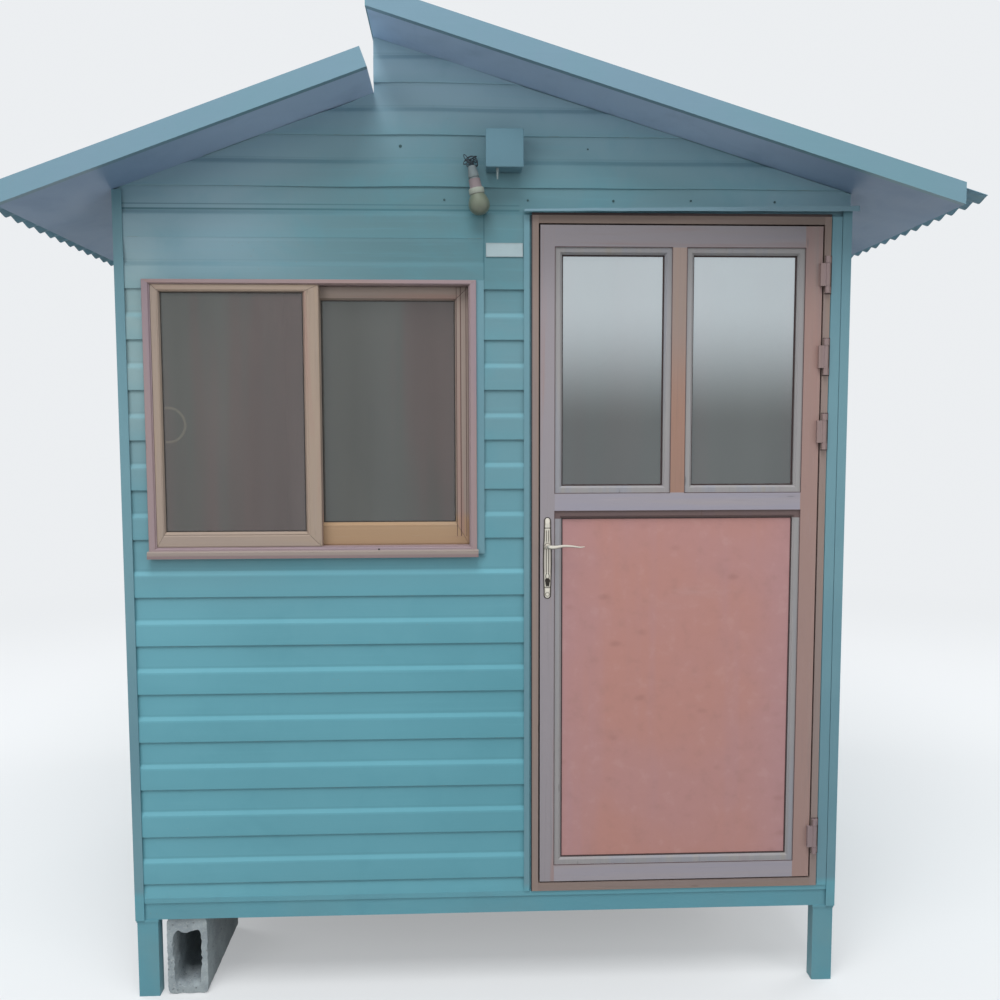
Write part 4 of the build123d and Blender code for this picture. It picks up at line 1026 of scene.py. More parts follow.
def board_profile(settings, foot, head):
    """Heights, depths and places in the board of the cladding's upright section, foot to head.

    A board's lower half stands at the wall's outer face over a rounded lip, a short bevel takes it
    back by the recess, and its upper half runs flat up under the next board's lap. Near the wall's
    foot the recess fades out, where the boards meet the foot strip.
    """
    laps = [settings.joint_foot, settings.joint_foot + settings.wide_cover]
    while laps[-1] < head + settings.cover:
        laps.append(laps[-1] + settings.cover)
    while laps[0] > foot - settings.cover:
        laps.insert(0, laps[0] - settings.cover)
    laps = np.array(laps)[:, None]
    bevel = settings.lower_half + np.array(BEVEL_HEIGHTS) * MM
    over_foot = np.concatenate([np.array(LIP_HEIGHTS) * MM, bevel])
    under_head = np.array(HEAD_HEIGHTS) * MM
    heights = np.concatenate([laps[:-1] + over_foot, laps[1:] - under_head], axis=1).ravel()
    heights = heights + np.arange(len(heights)) * 1e-7
    depths = np.tile(np.array(SECTION_DEPTHS) * settings.recess, len(laps) - 1)
    places = np.tile(SECTION_PLACES, len(laps) - 1)
    inside = (heights > foot + 1e-5) & (heights < head - 1e-5)
    levels = np.concatenate([[foot], heights[inside], [head]])
    fade = np.clip((levels - BASE_TOP) / FOOT_FADE, 0, 1)
    fade = fade * (1 - 0.85 * np.interp(levels, FAINT_LAP, [0, 1, 1, 0]))
    return levels, np.interp(levels, heights, depths) * fade, np.interp(levels, heights, places)


def clad_wall(settings, ends, levels, place, seed, top=None, spacing=0.03, bend=0.0, flat=None):
    """One closed panel of boards between two places along a wall and two levels.

    Points lie along the wall and at the profile's heights; they go in by its depth and by a slow
    warp. Heights over the roof's underside, top, are brought down to it. place(s, depth, z) gives
    the wall's point. With a flat depth the panel has no boards.
    """
    (start, end), (foot, head) = ends, levels
    heights, depths, places = board_profile(settings, foot, head)
    if flat is not None:
        depths, places = np.full_like(depths, flat), np.full_like(places, UNSEEN_BOARD)
    s = np.linspace(start, end, max(2, round((end - start) / spacing) + 1))
    limit = np.inf if top is None else top(s)
    straight = np.minimum(heights[:, None] + s * 0, limit)
    s = np.broadcast_to(s, straight.shape)
    plan = np.stack([s, np.full(s.shape, seed, float), straight], -1)
    warp = settings.warp * (0.5 + 0.5 * ripple(plan, 0.9, seed))
    sag = bend * ripple(plan * [1.0, 1.0, 0.15], 0.5, seed + 3)
    free = (straight > foot + 0.02) & (straight < head - 0.02)
    bent = np.minimum(np.clip(straight + sag * free, foot, None), limit)
    outer = place(s, depths[:, None] + np.maximum(warp, 0), bent)
    inner = place(s, np.full(s.shape, WALL_THICK), straight)
    board = np.repeat(places, s.shape[1])
    return slab(outer, inner), np.concatenate([board, np.full(board.size, UNSEEN_BOARD)])


def upright_wall(across, face, inward):
    """Gives place(s, depth, z): a point at s along a wall, set back from its outer face by a depth.

    across is 1 for a wall that runs across the cabin and 0 for one that runs along its depth.
    """

    def place(s, depth, z):
        level = face + inward * depth
        return np.stack([s, level, z] if across else [level, s, z], -1)

    return place


front_place, back_place = upright_wall(1, WALL_FRONT, 1), upright_wall(1, WALL_BACK, -1)
left_place, right_place = upright_wall(0, WALL_LEFT, 1), upright_wall(0, WALL_RIGHT, -1)


def add_wall(name, panels, node, finish):
    """Joins several panels into the piece that stands for a wall node."""
    shapes, boards = zip(*panels)
    numbers = {"board": np.concatenate(boards)}
    piece(name, joined(*shapes), "cabin", finish, "teal_cladding", replaces=[node], numbers=numbers)


class CABIN_OT_front_boards(bpy.types.Operator):
    """Boards of the front wall and the gable, with the window left open"""

    bl_idname = "cabin.front_boards"
    bl_label = "Front boards"

    def execute(self, context):
        settings = context.scene.cabin_cladding
        paints = (settings.paint, settings.paint_deep, context.scene.cabin_trim.dust)
        upper = {"dull": settings.paint_dull_shaded, "high": settings.paint_top_light}
        finish = teal_paint("boards_teal", *paints, **upper)
        left, right, foot, head = span("window_frame", 0, 2)
        wall_left, wall_right = span("front_wall_left", 0)
        behind_trim = span("door_head_drip", 0)[0] + 14 * MM
        panels = [
            clad_wall(settings, ends, levels, front_place, 7, flat=flat)
            for ends, levels, flat in (
                ((wall_left, left), (BASE_TOP, GABLE_FOOT), None),
                ((left, right), (BASE_TOP, foot), None),
                ((left, right), (head, GABLE_FOOT), None),
                ((right, PATCH_LEFT), (BASE_TOP, GABLE_FOOT), None),
                ((PATCH_LEFT, behind_trim), (BASE_TOP, PATCH_FOOT), None),
                ((PATCH_LEFT, behind_trim), (PATCH_FOOT, GABLE_FOOT), 1.0 * MM),
                ((behind_trim, wall_right), (BASE_TOP, GABLE_FOOT), DOOR_GAP_DEPTH),
            )
        ]
        add_wall("front_boards", panels, "front_wall_left", finish)
        shared = {"bend": 2.2 * MM, "spacing": 0.02}
        gable = [
            clad_wall(settings, (x0, x1), (GABLE_FOOT, top), front_place, 8, top=edge, **shared)
            for x0, x1, top, edge in HALVES
        ]
        add_wall("gable_boards", gable, "front_gable", finish)
        marks = []
        for x, z, wide in NAIL_MARKS:
            dome = np.array([(0, -4.0), (wide, -4.0), (wide, 0.0), (0.6 * wide, 0.5), (0, 0.5)])
            marks.append(turned(dome * MM, (x, WALL_FRONT + 4.6 * MM, z), FORWARD, sides=10))
        piece("nail_heads", joined(*marks), "cabin", small("nail_rust"), "hook_steel", smooth=40)
        return {"FINISHED"}


class CABIN_OT_side_boards(bpy.types.Operator):
    """Boards of the two side walls and the back wall"""

    bl_idname = "cabin.side_boards"
    bl_label = "Side and back boards"

    def execute(self, context):
        settings = context.scene.cabin_cladding
        finish = bpy.data.materials["boards_teal"]
        for side, x, place, seed in (
            ("left", WALL_LEFT, left_place, 21),
            ("right", WALL_RIGHT, right_place, 22),
        ):
            node = f"{side}_wall"
            levels = (BASE_TOP, float(roof_underside(x)))
            panel = clad_wall(settings, span(node, 1), levels, place, seed, spacing=0.06)
            add_wall(f"{side}_boards", [panel], node, finish)
        back = [
            clad_wall(settings, (x0, x1), (BASE_TOP, top), back_place, 23, top=edge, spacing=0.04)
            for x0, x1, top, edge in reversed(HALVES)
        ]
        add_wall("back_boards", back, "back_wall", finish)
        return {"FINISHED"}


# Roof


def sheet_waves(settings, low, high):
    """Number of waves across a sheet between its two ends."""
    return round((high[1] - low[1]) / settings.wave_pitch)


def corrugated(settings, side, slope, sheet, deck):
    """Corrugated sheet on a deck that falls from the step.

    Its height over the deck is half the wave's depth times one plus the cosine of the way across,
    so that both side edges lie on a crest; the eave is slightly uneven.
    """
    low, high = corners(sheet)
    pitch = math.atan(slope)
    start_x, eave_x = (low[0], high[0]) if side > 0 else (high[0], low[0])
    start_z = span(deck, 2)[1] + 0.2 * MM / math.cos(pitch)
    waves = sheet_waves(settings, low, high)
    turns = np.arange(waves * settings.wave_steps + 1) / settings.wave_steps
    across = low[1] + turns * (high[1] - low[1]) / waves
    full = settings.wave_depth + settings.thickness
    reach = (abs(eave_x - start_x) - (full + 1 * MM) * math.sin(pitch)) / math.cos(pitch)
    way = np.linspace(0, 1, 15)[None, :]
    line = np.stack([across, across * 0, across * 0], -1)
    eave = -3 * MM * (0.5 + 0.5 * ripple(line, 0.22, 31))
    along = way * (reach + np.minimum(eave, 0)[:, None] * way**6)
    wave = settings.wave_depth / 2 * (1 + np.cos(2 * np.pi * turns))[:, None] * np.ones_like(along)
    plan = np.stack([along, np.broadcast_to(across[:, None], along.shape), wave], -1)
    dent = -0.5 * MM * (0.5 + 0.5 * ripple(plan, 0.6, 33))

    def lay(rise):
        """The sheet's points, raised off its underside."""
        up = wave + rise
        x = start_x + side * (along * math.cos(pitch) + up * math.sin(pitch))
        z = start_z - along * math.sin(pitch) + up * math.cos(pitch)
        return np.stack([x, plan[..., 1], z], -1)

    return slab(lay(settings.thickness + dent), lay(0.0))


def roof_screws(settings, side, slope, sheet, deck):
    """Domed screws with washers on every third crest, in three rows down the slope."""
    low, high = corners(sheet)
    pitch = math.atan(slope)
    start_x = low[0] if side > 0 else high[0]
    top = span(deck, 2)[1]
    crest = settings.wave_depth + settings.thickness - 1.2 * MM
    down = abs(span(deck, 0)[1 if side > 0 else 0] - start_x)
    axis = np.array([side * math.sin(pitch), 0.0, math.cos(pitch)])
    screws = []
    for share in SCREW_ROWS:
        x, z = start_x + side * share * down, top - share * down * slope
        for k in range(1, sheet_waves(settings, low, high), 3):
            foot = np.array([x, low[1] + k * settings.wave_pitch, z]) + axis * crest
            screws.append(turned(np.array(SCREW_DOME) * 0.55 * MM, foot, axis, sides=7))
    return joined(*screws)


def roof_paint(settings, trim):
    """Dusty painted sheet: duller on the crests, with run marks down the slope."""
    f = Finish("sheet_teal")
    fresh = linear(settings.paint)
    cloud = f.noise(2.0, detail=5.0)
    runs = f.noise(detail=5.0, roughness=0.65, reach=(1.4, 26.0, 1.4))
    rust = f.ramp(f.noise(30.0, detail=6.0, roughness=0.7), 0.70, 0.76)
    tint = f.layers(
        fresh,
        (f.ramp(cloud, 0.35, 0.7) * 0.55, shade(fresh, 0.72)),
        (f.ramp(runs, 0.45, 0.75) * 0.55, linear(trim.dust)),
        (rust * f.ramp(f.noise(2.0), 0.5, 0.62) * 0.7, linear(SHEET_RUST)),
    )
    normal = f.bump(f.noise(18.0, detail=3.0) + runs * 0.4, 0.0012, 0.6)
    return f.close(tint, 0.5 + runs * 0.2, normal)


class CABIN_OT_roof(bpy.types.Operator):
    """Two corrugated sheets and their screws"""

    bl_idname = "cabin.roof"
    bl_label = "Roof sheets"

    def execute(self, context):
        settings = context.scene.cabin_roof
        finish, zinc = roof_paint(settings, context.scene.cabin_trim), small("screw_zinc")
        for name, side, slope in (("right", 1, RIGHT_SLOPE), ("left", -1, LEFT_SLOPE)):
            sheet = f"{name}_roof_sheet"
            place = (settings, side, slope, sheet, f"{name}_roof_deck")
            shared = {"body": "cabin", "smooth": 40}
            sheet_piece = {"material": finish, "slot": "roof_sheet", "replaces": [sheet]}
            piece(f"{name}_sheet", corrugated(*place), **sheet_piece, **shared)
            piece(f"{name}_screws", roof_screws(*place), material=zinc, slot="hook_steel", **shared)
        return {"FINISHED"}


# Base, trims and block


def drip_shape():
    """Drip over the door: a sloping top and an upright lip that grows and rises towards the right.

    The lip's foot and head follow straight lines from the left end to the right one, plus ripples.
    """
    low, high = corners("door_head_drip")
    x = np.linspace(low[0], high[0], 60)
    way = (x - low[0]) / (high[0] - low[0])
    line = np.stack([x, x * 0, x * 0], -1)
    foot = low[2] + (0.2 + 5 * way + 0.8 * (1 + ripple(line, 0.16, 41))) * MM
    head = foot + (6 + 10 * way) * MM
    lip = low[1] + 1.5 * MM * (1 + ripple(line, 0.23, 42))
    wall = np.full_like(x, WALL_FRONT)
    thick = 1.6 * MM

    def rows(*places):
        """Rows of points along the drip, one for each (y, z)."""
        return np.stack([np.stack([x, y, z], -1) for y, z in places])

    outer = rows((wall, head + 3 * MM), (lip, head), (lip, foot))
    inner = ((wall, head + 3 * MM - thick), (lip + thick, head - thick), (lip + thick, foot))
    return slab(outer, rows(*inner))


def block_shape():
    """Hollow cement block: a ring section carried round its length and back through the core.

    The outer line is a rounded rectangle, the core a smaller one with a jagged edge, and every
    point moves by rough noise.
    """
    low, high = corners("support_block")
    middle, half = (low + high) / 2, (high - low) / 2
    turns = np.linspace(0, 2 * np.pi, 112, endpoint=False)

    def rounded(half_x, half_z, power):
        """Rounded rectangle: (|x| / half_x) ** power + (|z| / half_z) ** power is one."""
        c, s = np.cos(turns), np.sin(turns)
        scale = (np.abs(c / half_x) ** power + np.abs(s / half_z) ** power) ** (-1 / power)
        return np.stack([c * scale, s * scale], -1)

    outer = rounded(half[0], half[2], 14)
    core = rounded(half[0] - 22 * MM, half[2] - 36 * MM, 6) - np.array([0.0, 10 * MM])
    sides, steps = np.linspace(-1, 1, 26), (0.8, 0.6, 0.4, 0.2)
    ring = [(1.0, y) for y in sides] + [(w, 1.0) for w in steps]
    ring += [(0.0, -y) for y in sides] + [(w, -1.0) for w in reversed(steps)]
    weight, along = np.array(ring)[:, :, None].transpose(1, 0, 2)
    section = core[None] + (outer - core)[None] * weight[..., None]
    y = np.broadcast_to(along * half[1], section.shape[:2])
    points = np.stack([section[..., 0], y, section[..., 1]], -1)
    jag = 6 * MM * ripple(points * [1, 0.6, 1], 0.055, 51) + 3 * MM * ripple(points, 0.018, 52)
    outward = points * [1, 0, 1]
    outward /= np.linalg.norm(outward, axis=-1, keepdims=True)
    rough = 1.3 * MM * ripple(points, 0.02, 53) + 0.8 * MM * ripple(points, 0.008, 54) - 2.2 * MM
    end = np.where(np.abs(along) > 0.999, np.sign(along), 0.0)[..., None] * np.array([0, 1.0, 0])
    worn = 2.0 * MM * (ripple(points, 0.03, 55) - 1.1)
    moved = jag * (1 - weight) + rough * (2 * weight - 1)
    points = points + outward * moved[..., None] + end * worn[..., None]
    points = np.clip(points + middle, low, high)
    faces = grid_faces(len(ring), len(turns), wrap_rows=True, wrap_columns=True)
    return points.reshape(-1, 3), faces


class CABIN_OT_base(bpy.types.Operator):
    """Painted base, trims, fascias and decks, the drip, the floor and the cement block"""

    bl_idname = "cabin.base"
    bl_label = "Base and trims"

    def execute(self, context):
        trim = context.scene.cabin_trim
        base, trims = (trim.base, trim.base_deep), (trim.paint, trim.paint_deep)
        soffit, drip = ((tone, shade(tone, 0.9)[:3]) for tone in (trim.soffit, trim.drip))
        fascia = (trim.fascia, trim.paint)
        for name, paints, along, others, nodes in (
            ("base_level", base, "X", {}, ["cross_beams"]),
            ("base_depthwise", base, "Y", {}, ["side_beams", "floor_joists"]),
            ("base_upright", base, "Z", {}, ["legs"]),
            ("trim_upright", trims, "Z", {"low": trim.base}, TRIMS),
            ("trim_depthwise", trims, "Y", {}, ["step_flashing", "step_wall"]),
            ("fascia_teal", fascia, "X", {}, ["fascias"]),
            ("soffit_teal", soffit, "Y", {"inner": trim.soffit_inner}, DECKS),
            ("drip_teal", drip, "X", {}, []),
        ):
            dress(teal_paint(name, *paints, trim.dust, along=along, **others), *nodes)
        dress(boarded_floor("floor_boards"), "floor_deck")
        level = bpy.data.materials["drip_teal"]
        others = {"smooth": 30, "replaces": ["door_head_drip"]}
        piece("door_drip", drip_shape(), "cabin", level, "teal_paint", **others)
        others = {"smooth": 60, "replaces": ["support_block"]}
        rough = cement("rough_cement")
        piece("cement_block", block_shape(), "cabin", rough, "block_concrete", **others)
        return {"FINISHED"}


# Window and door


def seal_section(width, face, back):
    """Small closed section of a dark seal that lies between a frame and its pane."""
    middle = (face + back) / 2
    return [(0.0, back), (0.0, face), (width * 0.6, face), (width, middle), (width, back)]


def frame_section(front, back, lip):
    """Frame bar's closed section: a flat face, a groove towards the opening and a lower lip."""
    face = [(0.0, 1.2 * MM), (0.06, 0.0), (0.78, 0.0), (0.84, lip * 0.3), (0.88, lip), (1.0, lip)]
    return [(0.0, back), *((share, front + deep) for share, deep in face), (1.0, back)]


def sash_section(front, back, pane, groove):
    """Sash bar's closed section: a flat face that falls to a narrow sloping bead at the pane."""
    face = [
        (0.0, 2.0 * MM), (0.05, 0.3 * MM), (0.10, 0.0), (0.70, 0.0), (0.74, 0.4 * groove),
        (0.77, groove), (0.80, groove), (0.83, 0.4 * groove), (0.87, 0.6 * groove),
    ]
    return [(0.0, back), *((share, front + deep) for share, deep in face), (1.0, pane), (1.0, back)]


class CABIN_OT_window(bpy.types.Operator):
    """Window frame, sashes, panes, seals and pull"""

    bl_idname = "cabin.window"
    bl_label = "Window"

    def execute(self, context):
        settings = context.scene.cabin_joinery
        rose = settings.rose
        foot = span("right_sash", 2)[0]
        tan_foot = (SASH_TAN, foot + 70 * MM, foot + 110 * MM)
        outer, near, far = (
            [foil(f"{name}_{way}", tone, rose, way, **others) for way in "XZ"]
            for name, tone, others in (
                ("window_foil", settings.window_foil, {}),
                ("near_sash", settings.sash_foil, {"grey": 0.1}),
                # The far sash's foil is its own tone darkened as painted shade
                ("far_sash", settings.far_foil, {"grey": 0.1, "lower": tan_foot}),
            )
        )
        x0, x1, y0, y1, z0, z1 = span("window_frame", 0, 1, 2)
        frame_front, frame_foot = y0, z0
        inner_left, inner_right = span("left_sash", 0)[0], span("right_sash", 0)[1]
        inner_foot, inner_head = span("left_sash", 2)
        widths = (inner_left - x0, x1 - inner_right, inner_foot - z0, z1 - inner_head)
        shape, upright = mitred_bars((x0, x1, z0, z1), widths, frame_section(y0, y1, 5 * MM))
        shared = {"slot": "foil_frame", "replaces": ["window_frame"]}
        piece("window_surround", shape, "cabin", outer[0], second=(outer[1], upright), **shared)
        dress(sill_foil("sill_foil", settings.window_foil, *span("window_sill", 2)), "window_sill")

        rings = []
        for node, margins, groove, tan in SASHES:
            tan = {"near": near, "far": far}[tan]
            box = span(node, 0, 2)
            y0, y1 = span(node, 1)
            widths = [m * MM for m in margins]
            pane = (y0 + y1) / 2 - 3 * MM
            section = sash_section(y0, y1, pane, groove * MM)
            shape, upright = mitred_bars(box, widths, section, gap=0.6 * MM)
            shared = {"slot": "foil_sash", "replaces": [node]}
            name = node.replace("sash", "sash_bars")
            piece(name, shape, "cabin", tan[0], second=(tan[1], upright), **shared)
            section = seal_section(settings.seal, pane - 0.5 * MM, pane + 3.4 * MM)
            inset = [edge + way * w for edge, way, w in zip(box, (1, -1, 1, -1), widths)]
            rings.append(mitred_ring(*inset, section))
        piece("window_seals", joined(*rings), "cabin", small("dark_seal"), "pull_plastic")
        dress(coated_glass("window_pane", WINDOW_TINT, 0.045, 0.22, bands=1.6), "window_glass")

        sash_right, sash_front = span("right_sash", 0)[1], span("right_sash", 1)[0]
        foot_z, head_z = span("window_glass", 2) + np.array([-20, 20]) * MM
        lines = []
        for inset, wide in SASH_LINES:
            x = sash_right - inset * MM
            low = (x, sash_front - 0.5 * MM, foot_z)
            high = (x + wide * MM, sash_front + 1.5 * MM, head_z)
            lines.append(soft_box(low, high, 0.2 * MM, steps=1))
        piece("sash_lines", joined(*lines), "cabin", small("worn_line"), "foil_sash")
        hole = np.array([(0, -0.5), (3.0, -0.5), (3.0, 0.2), (2.0, 0.4), (0, 0.1)]) * MM
        screw = turned(hole, (FRAME_SCREW_X, frame_front, frame_foot + 16 * MM), FORWARD, sides=12)
        piece("frame_screw", screw, "cabin", small("screw_dark"), "foil_frame")

        x0, x1, y0, y1, z0, z1 = span("window_pull", 0, 1, 2)
        y = (y0 + y1) / 2
        half = [(x0 + across * MM, y, down * MM) for across, down in ((1, 5), (18, 5), (36, 11))]
        half.append((x1 - 12 * MM, y, 30 * MM))
        line = [(x, y, z1 - down) for x, y, down in half]
        line += [(x1 - 4.5 * MM, y, (z0 + z1) / 2)]
        line += [(x, y, z0 + down) for x, y, down in reversed(half)]
        bow = tube(curve_through(line, 41), np.full(41, 3.9 * MM), up=(0.0, 1.0, 0.0))
        shared = {"slot": "pull_plastic", "smooth": 50, "replaces": ["window_pull"]}
        piece("window_bow", bow, "cabin", small("pull_grey"), **shared)
        return {"FINISHED"}


class CABIN_OT_door(bpy.types.Operator):
    """Door frame, leaf, panel, panes, seals and hinges"""

    bl_idname = "cabin.door"
    bl_label = "Door"

    def execute(self, context):
        settings = context.scene.cabin_joinery
        rose, frame_foil, leaf_foil = settings.rose, settings.frame_foil, settings.leaf_foil
        panel_top = span("door_panel", 2)[1]
        # The door's foils darken towards its head as painted shade under the drip
        rail_streaks_and_shade = {"grey": 0.6, "sooty": 0.62}
        turned_foil = {"turns_to": TURNED_FOIL, "grey": 1.0, "sooty": 0.45}
        beaded = {"grey": 0.6, "sooty": 0.45, "shadow": (panel_top - 21 * MM, panel_top + 8 * MM)}
        tan = {"grey": 0.2, "lower": (MULLION_TAN, *MULLION_TURN)}
        for name, tone, second, along, others, nodes in (
            ("jamb_foil", frame_foil, rose, "Z", {"sooty": 0.4}, ["door_jambs"]),
            ("head_foil", [c * 0.96 for c in frame_foil], rose, "X", {"sooty": 0.6}, LEVEL_FRAME),
            ("stile_foil", leaf_foil, rose, "Z", turned_foil, ["door_stiles"]),
            ("rail_foil", [c + 0.035 for c in leaf_foil], rose, "X", rail_streaks_and_shade, ["door_rails"]),
            ("mullion_foil", MULLION_FOIL, rose, "Z", tan, ["door_mullion"]),
            ("bead_foil", settings.bead_foil, leaf_foil, "Z", beaded, ["door_beads"]),
            ("hinge_foil", HINGE_FOIL, rose, "Z", {"grey": 0.4}, HINGES),
        ):
            dress(foil(name, tone, second, along, **others), *nodes)
        dress(panel_foil("panel_salmon", settings.panel, rose), "door_panel")
        pane = coated_glass("door_pane", DOOR_TINT, 0.10, 0.20, bands=0.3, head_reflection=0.60)
        dress(pane, "door_glass")

        x0, x1, z0, z1 = span("door_beads", 0, 2)
        bead = span("door_glass", 0)[0] - x0 + 17 * MM
        mullion_left, mullion_right = span("door_mullion", 0)
        rail_top = span("door_mullion", 2)[0]
        pane_front, panel_front = span("door_glass", 1)[0], span("door_panel", 1)[0]
        front, back = LEAF_FRONT - 0.4 * MM, LEAF_FRONT + 1 * MM
        edge = [(-1.5 * MM, back), (-1.5 * MM, front), (0.2 * MM, front), (0.2 * MM, back)]
        rings, outlines = [], []
        for left, right, foot, top, face in (
            (x0, mullion_left, rail_top, z1, pane_front),
            (mullion_right, x1, rail_top, z1, pane_front),
            (x0, x1, z0, panel_top + 4 * MM, panel_front),
        ):
            section = seal_section(settings.seal, face - 3.5 * MM, face - 0.1 * MM)
            rings.append(mitred_ring(left + bead, right - bead, foot + bead, top - bead, section))
            outlines.append(mitred_ring(left, right, foot, top, edge))
        rubber = small("door_seal")
        piece("bead_outlines", joined(*outlines), "door", small("groove_brown"), "foil_sash")
        piece("door_seals", joined(*rings), "door", rubber, "pull_plastic")

        left, right, front, _, foot, head = span("door_jambs", 0, 1, 2)
        drip_foot = span("door_head_drip", 2)[0]
        bars = [
            (left - 1.6 * MM, left + 1.2 * MM, foot, head),
            # Painted shadow: a dark strip between the door's head and the drip
            (left, right, head + 0.5 * MM, drip_foot + 1 * MM),
        ]
        side, edge = span("door_stiles", 0)[1] + 5.5 * MM, right + 3.0 * MM
        for low in HINGE_FEET:
            high = low + HINGE_LENGTH
            bars.append((edge - 2.2 * MM, edge, low, high))
            bars.append((side, edge, low - 2.6 * MM, low - 0.2 * MM))
            bars.append((side, edge, high + 0.2 * MM, high + 2.6 * MM))
        depths = (front - 0.4 * MM, front + 3 * MM)
        lines = [
            soft_box((x0, depths[0], z0), (x1, depths[1], z1), 0.2 * MM, steps=1)
            for x0, x1, z0, z1 in bars
        ]
        piece("jamb_joints", joined(*lines), "cabin", rubber, "foil_frame")
        return {"FINISHED"}


# Fittings


def bell(value, middle, wide):
    """Bell curve: e to the minus square of the distance from the middle over the width."""
    return np.exp(-(((value - middle) / wide) ** 2))


def handle_plate(face, outward, margin=0.0):
    """Long plate of a lever handle, as a height over the leaf's face, and how dark each point is:
    grime in its flutes, collar and keyhole, and painted shade at its edges and under the hub.

    Its half width is the foot's and head's, widened in the lower third by a bell curve, and closes
    in a quarter circle at both ends. Its height over (u across, v along) is the thickness times one
    minus the sixth power of u, less a few flutes, with a raised dome at the head and a knob at the
    foot. With a margin it is the dark plate beneath, a painted shadow round the plate: thin, flat
    and wider by the margin.
    """
    x0, x1, front, _, z0, z1 = span("handle_plates", 0, 1, 2)
    z0, z1 = z0 + 2.4 * MM - margin, z1 - 2.4 * MM + margin
    middle, half = (x0 + x1) / 2, (x1 - x0) / 2
    full = LEAF_FRONT - front
    z = z0 + (z1 - z0) * (0.5 - 0.5 * np.cos(np.linspace(0, np.pi, 121)))[:, None]
    u = np.sin(np.linspace(-np.pi / 2, np.pi / 2, 33))[None, :]
    v = (z - z0) / (z1 - z0)
    waist = half * (0.68 + 0.23 * bell(v, 0.46, 0.30)) + margin
    from_end = np.minimum(z - z0, z1 - z)
    round_off = np.sqrt(np.clip(1 - (1 - np.clip(from_end / waist, 0, 1)) ** 2, 0, 1))
    width = waist * round_off
    plain = np.clip((v - 0.30) / 0.03, 0, 1) * np.clip((0.86 - v) / 0.02, 0, 1)
    plain = plain * (1 - np.clip(1.4 - np.abs(v - 0.66) / 0.045, 0, 1))
    waves = bpy.context.scene.cabin_fittings.flutes * (u + 1) / 2
    flutes = (0.5 + 0.5 * np.cos(2 * np.pi * waves)) ** 2 * plain
    dome = bell(v, 0.935, 0.030) * (1 - u**2)
    knob = bell(v, 0.085, 0.022) * np.clip(1 - u**2 * 1.3, 0, 1)
    collar = bell(v, 0.875, 0.006) + bell(v, 0.135, 0.006)
    height = 0.62 - 0.13 * flutes + 0.36 * dome + 0.34 * knob - 0.16 * collar
    height = full * height * (1 - 0.75 * np.abs(u) ** 6) * (0.25 + 0.75 * round_off)
    # Grime in the flutes and collar, and painted shade towards the plate's edges
    grime = 1.2 * flutes * (np.abs(u) < 0.9) + 1.1 * collar + 0.45 * np.abs(u) ** 4
    keyhole = np.hypot(width * u, z - z0 - 12 * MM) / MM
    # Grime round the keyhole, and a line of painted shadow under the hub
    grime = grime + 0.8 * bell(keyhole, 6.0, 1.2) + 0.5 * bell(v, 0.62, 0.012)
    if margin:
        height = 1.2 * MM * round_off + u * 0
    x = middle + width * u
    z = np.broadcast_to(z, x.shape)
    outer = np.stack([x, face + outward * np.clip(height, 0.6 * MM, full), z], -1)
    inner = np.stack([x, np.full_like(x, face), z], -1)
    return slab(outer, inner), np.concatenate([np.clip(grime, 0, 1).ravel(), np.zeros(x.size)])


def worn_metal(name, tone):
    """Rubbed metal: bright where bare, brown grime and painted shade as strong as the grime
    attribute says.
    """
    f = Finish(name)
    tone = linear(tone)
    patch = f.noise(18.0, detail=5.0, roughness=0.6)
    worn = (f.ramp(patch, 0.45, 0.75) * 0.14, shade(tone, 0.6))
    # The grime attribute holds grime and painted shade
    tint = f.layers(tone, worn, (f.attribute("grime") * 0.95, METAL_GRIME_AND_SHADE))
    normal = f.bump(f.noise(90.0, detail=3.0), 0.0003, 0.5)
    return f.close(tint, 0.24 + patch * 0.10, normal, Metallic=0.55, Coat_Weight=0.25)


def lever_bars():
    """Two slim levers with hubs on one spindle: an oval section carried along a gently waved line.

    The second list says how dark each point is: painted shade on the undersides and at the rose's
    foot.
    """
    x0, x1, y0, y1, z0, _ = span("door_levers", 0, 1, 2)
    hub_x, hub_z = x0 + 9 * MM, z0 + 9 * MM
    parts, grime = [], []
    # Painted shade on the levers' undersides
    under = np.clip(-np.sin(np.linspace(0, 2 * np.pi, 16, endpoint=False)), 0, 1)
    for face, tip, outward in ((LEAF_FRONT, y0, -1), (LEAF_BACK, y1, 1)):
        arm = tip - outward * 6.5 * MM
        hub = ((6, 7.0), (18, 6.4))
        way = [(hub_x, face + outward * out * MM, hub_z, half, half) for out, half in hub]
        way += [
            (hub_x + along * MM, arm + outward * out * MM, hub_z + up * MM, wide, high)
            for along, out, up, wide, high in LEVER_LINE
        ]
        way.append((x1 - 1.2 * MM, arm - outward * 1 * MM, hub_z + 0.5 * MM, 1.2, 1.2))
        line = curve_through(way, 73)
        parts.append(tube(line[:, :3], line[:, 3:] * 0.88 * MM, sides=16, up=(0.02, 0.02, 1.0)))
        grime.append(np.tile(under, 75))
        base = (hub_x, face + outward * 7.2 * MM, hub_z)
        parts.append(turned(np.array(LEVER_ROSE) * MM, base, (0, outward, 0), sides=26))
        # Painted shade at the rose's foot, by the leaf
        grime.append(np.repeat(ROSE_SHADE, 26))
    spindle = np.array([(0, 0.0), (4.4, 0.0), (4.4, 1.0), (0, 1.0)])
    spindle *= [MM, LEAF_BACK - LEAF_FRONT + 16 * MM]
    parts.append(turned(spindle, (hub_x, LEAF_FRONT - 8 * MM, hub_z), (0, 1, 0), sides=12))
    grime.append(np.zeros(4 * 12))
    return joined(*parts), np.concatenate(grime)


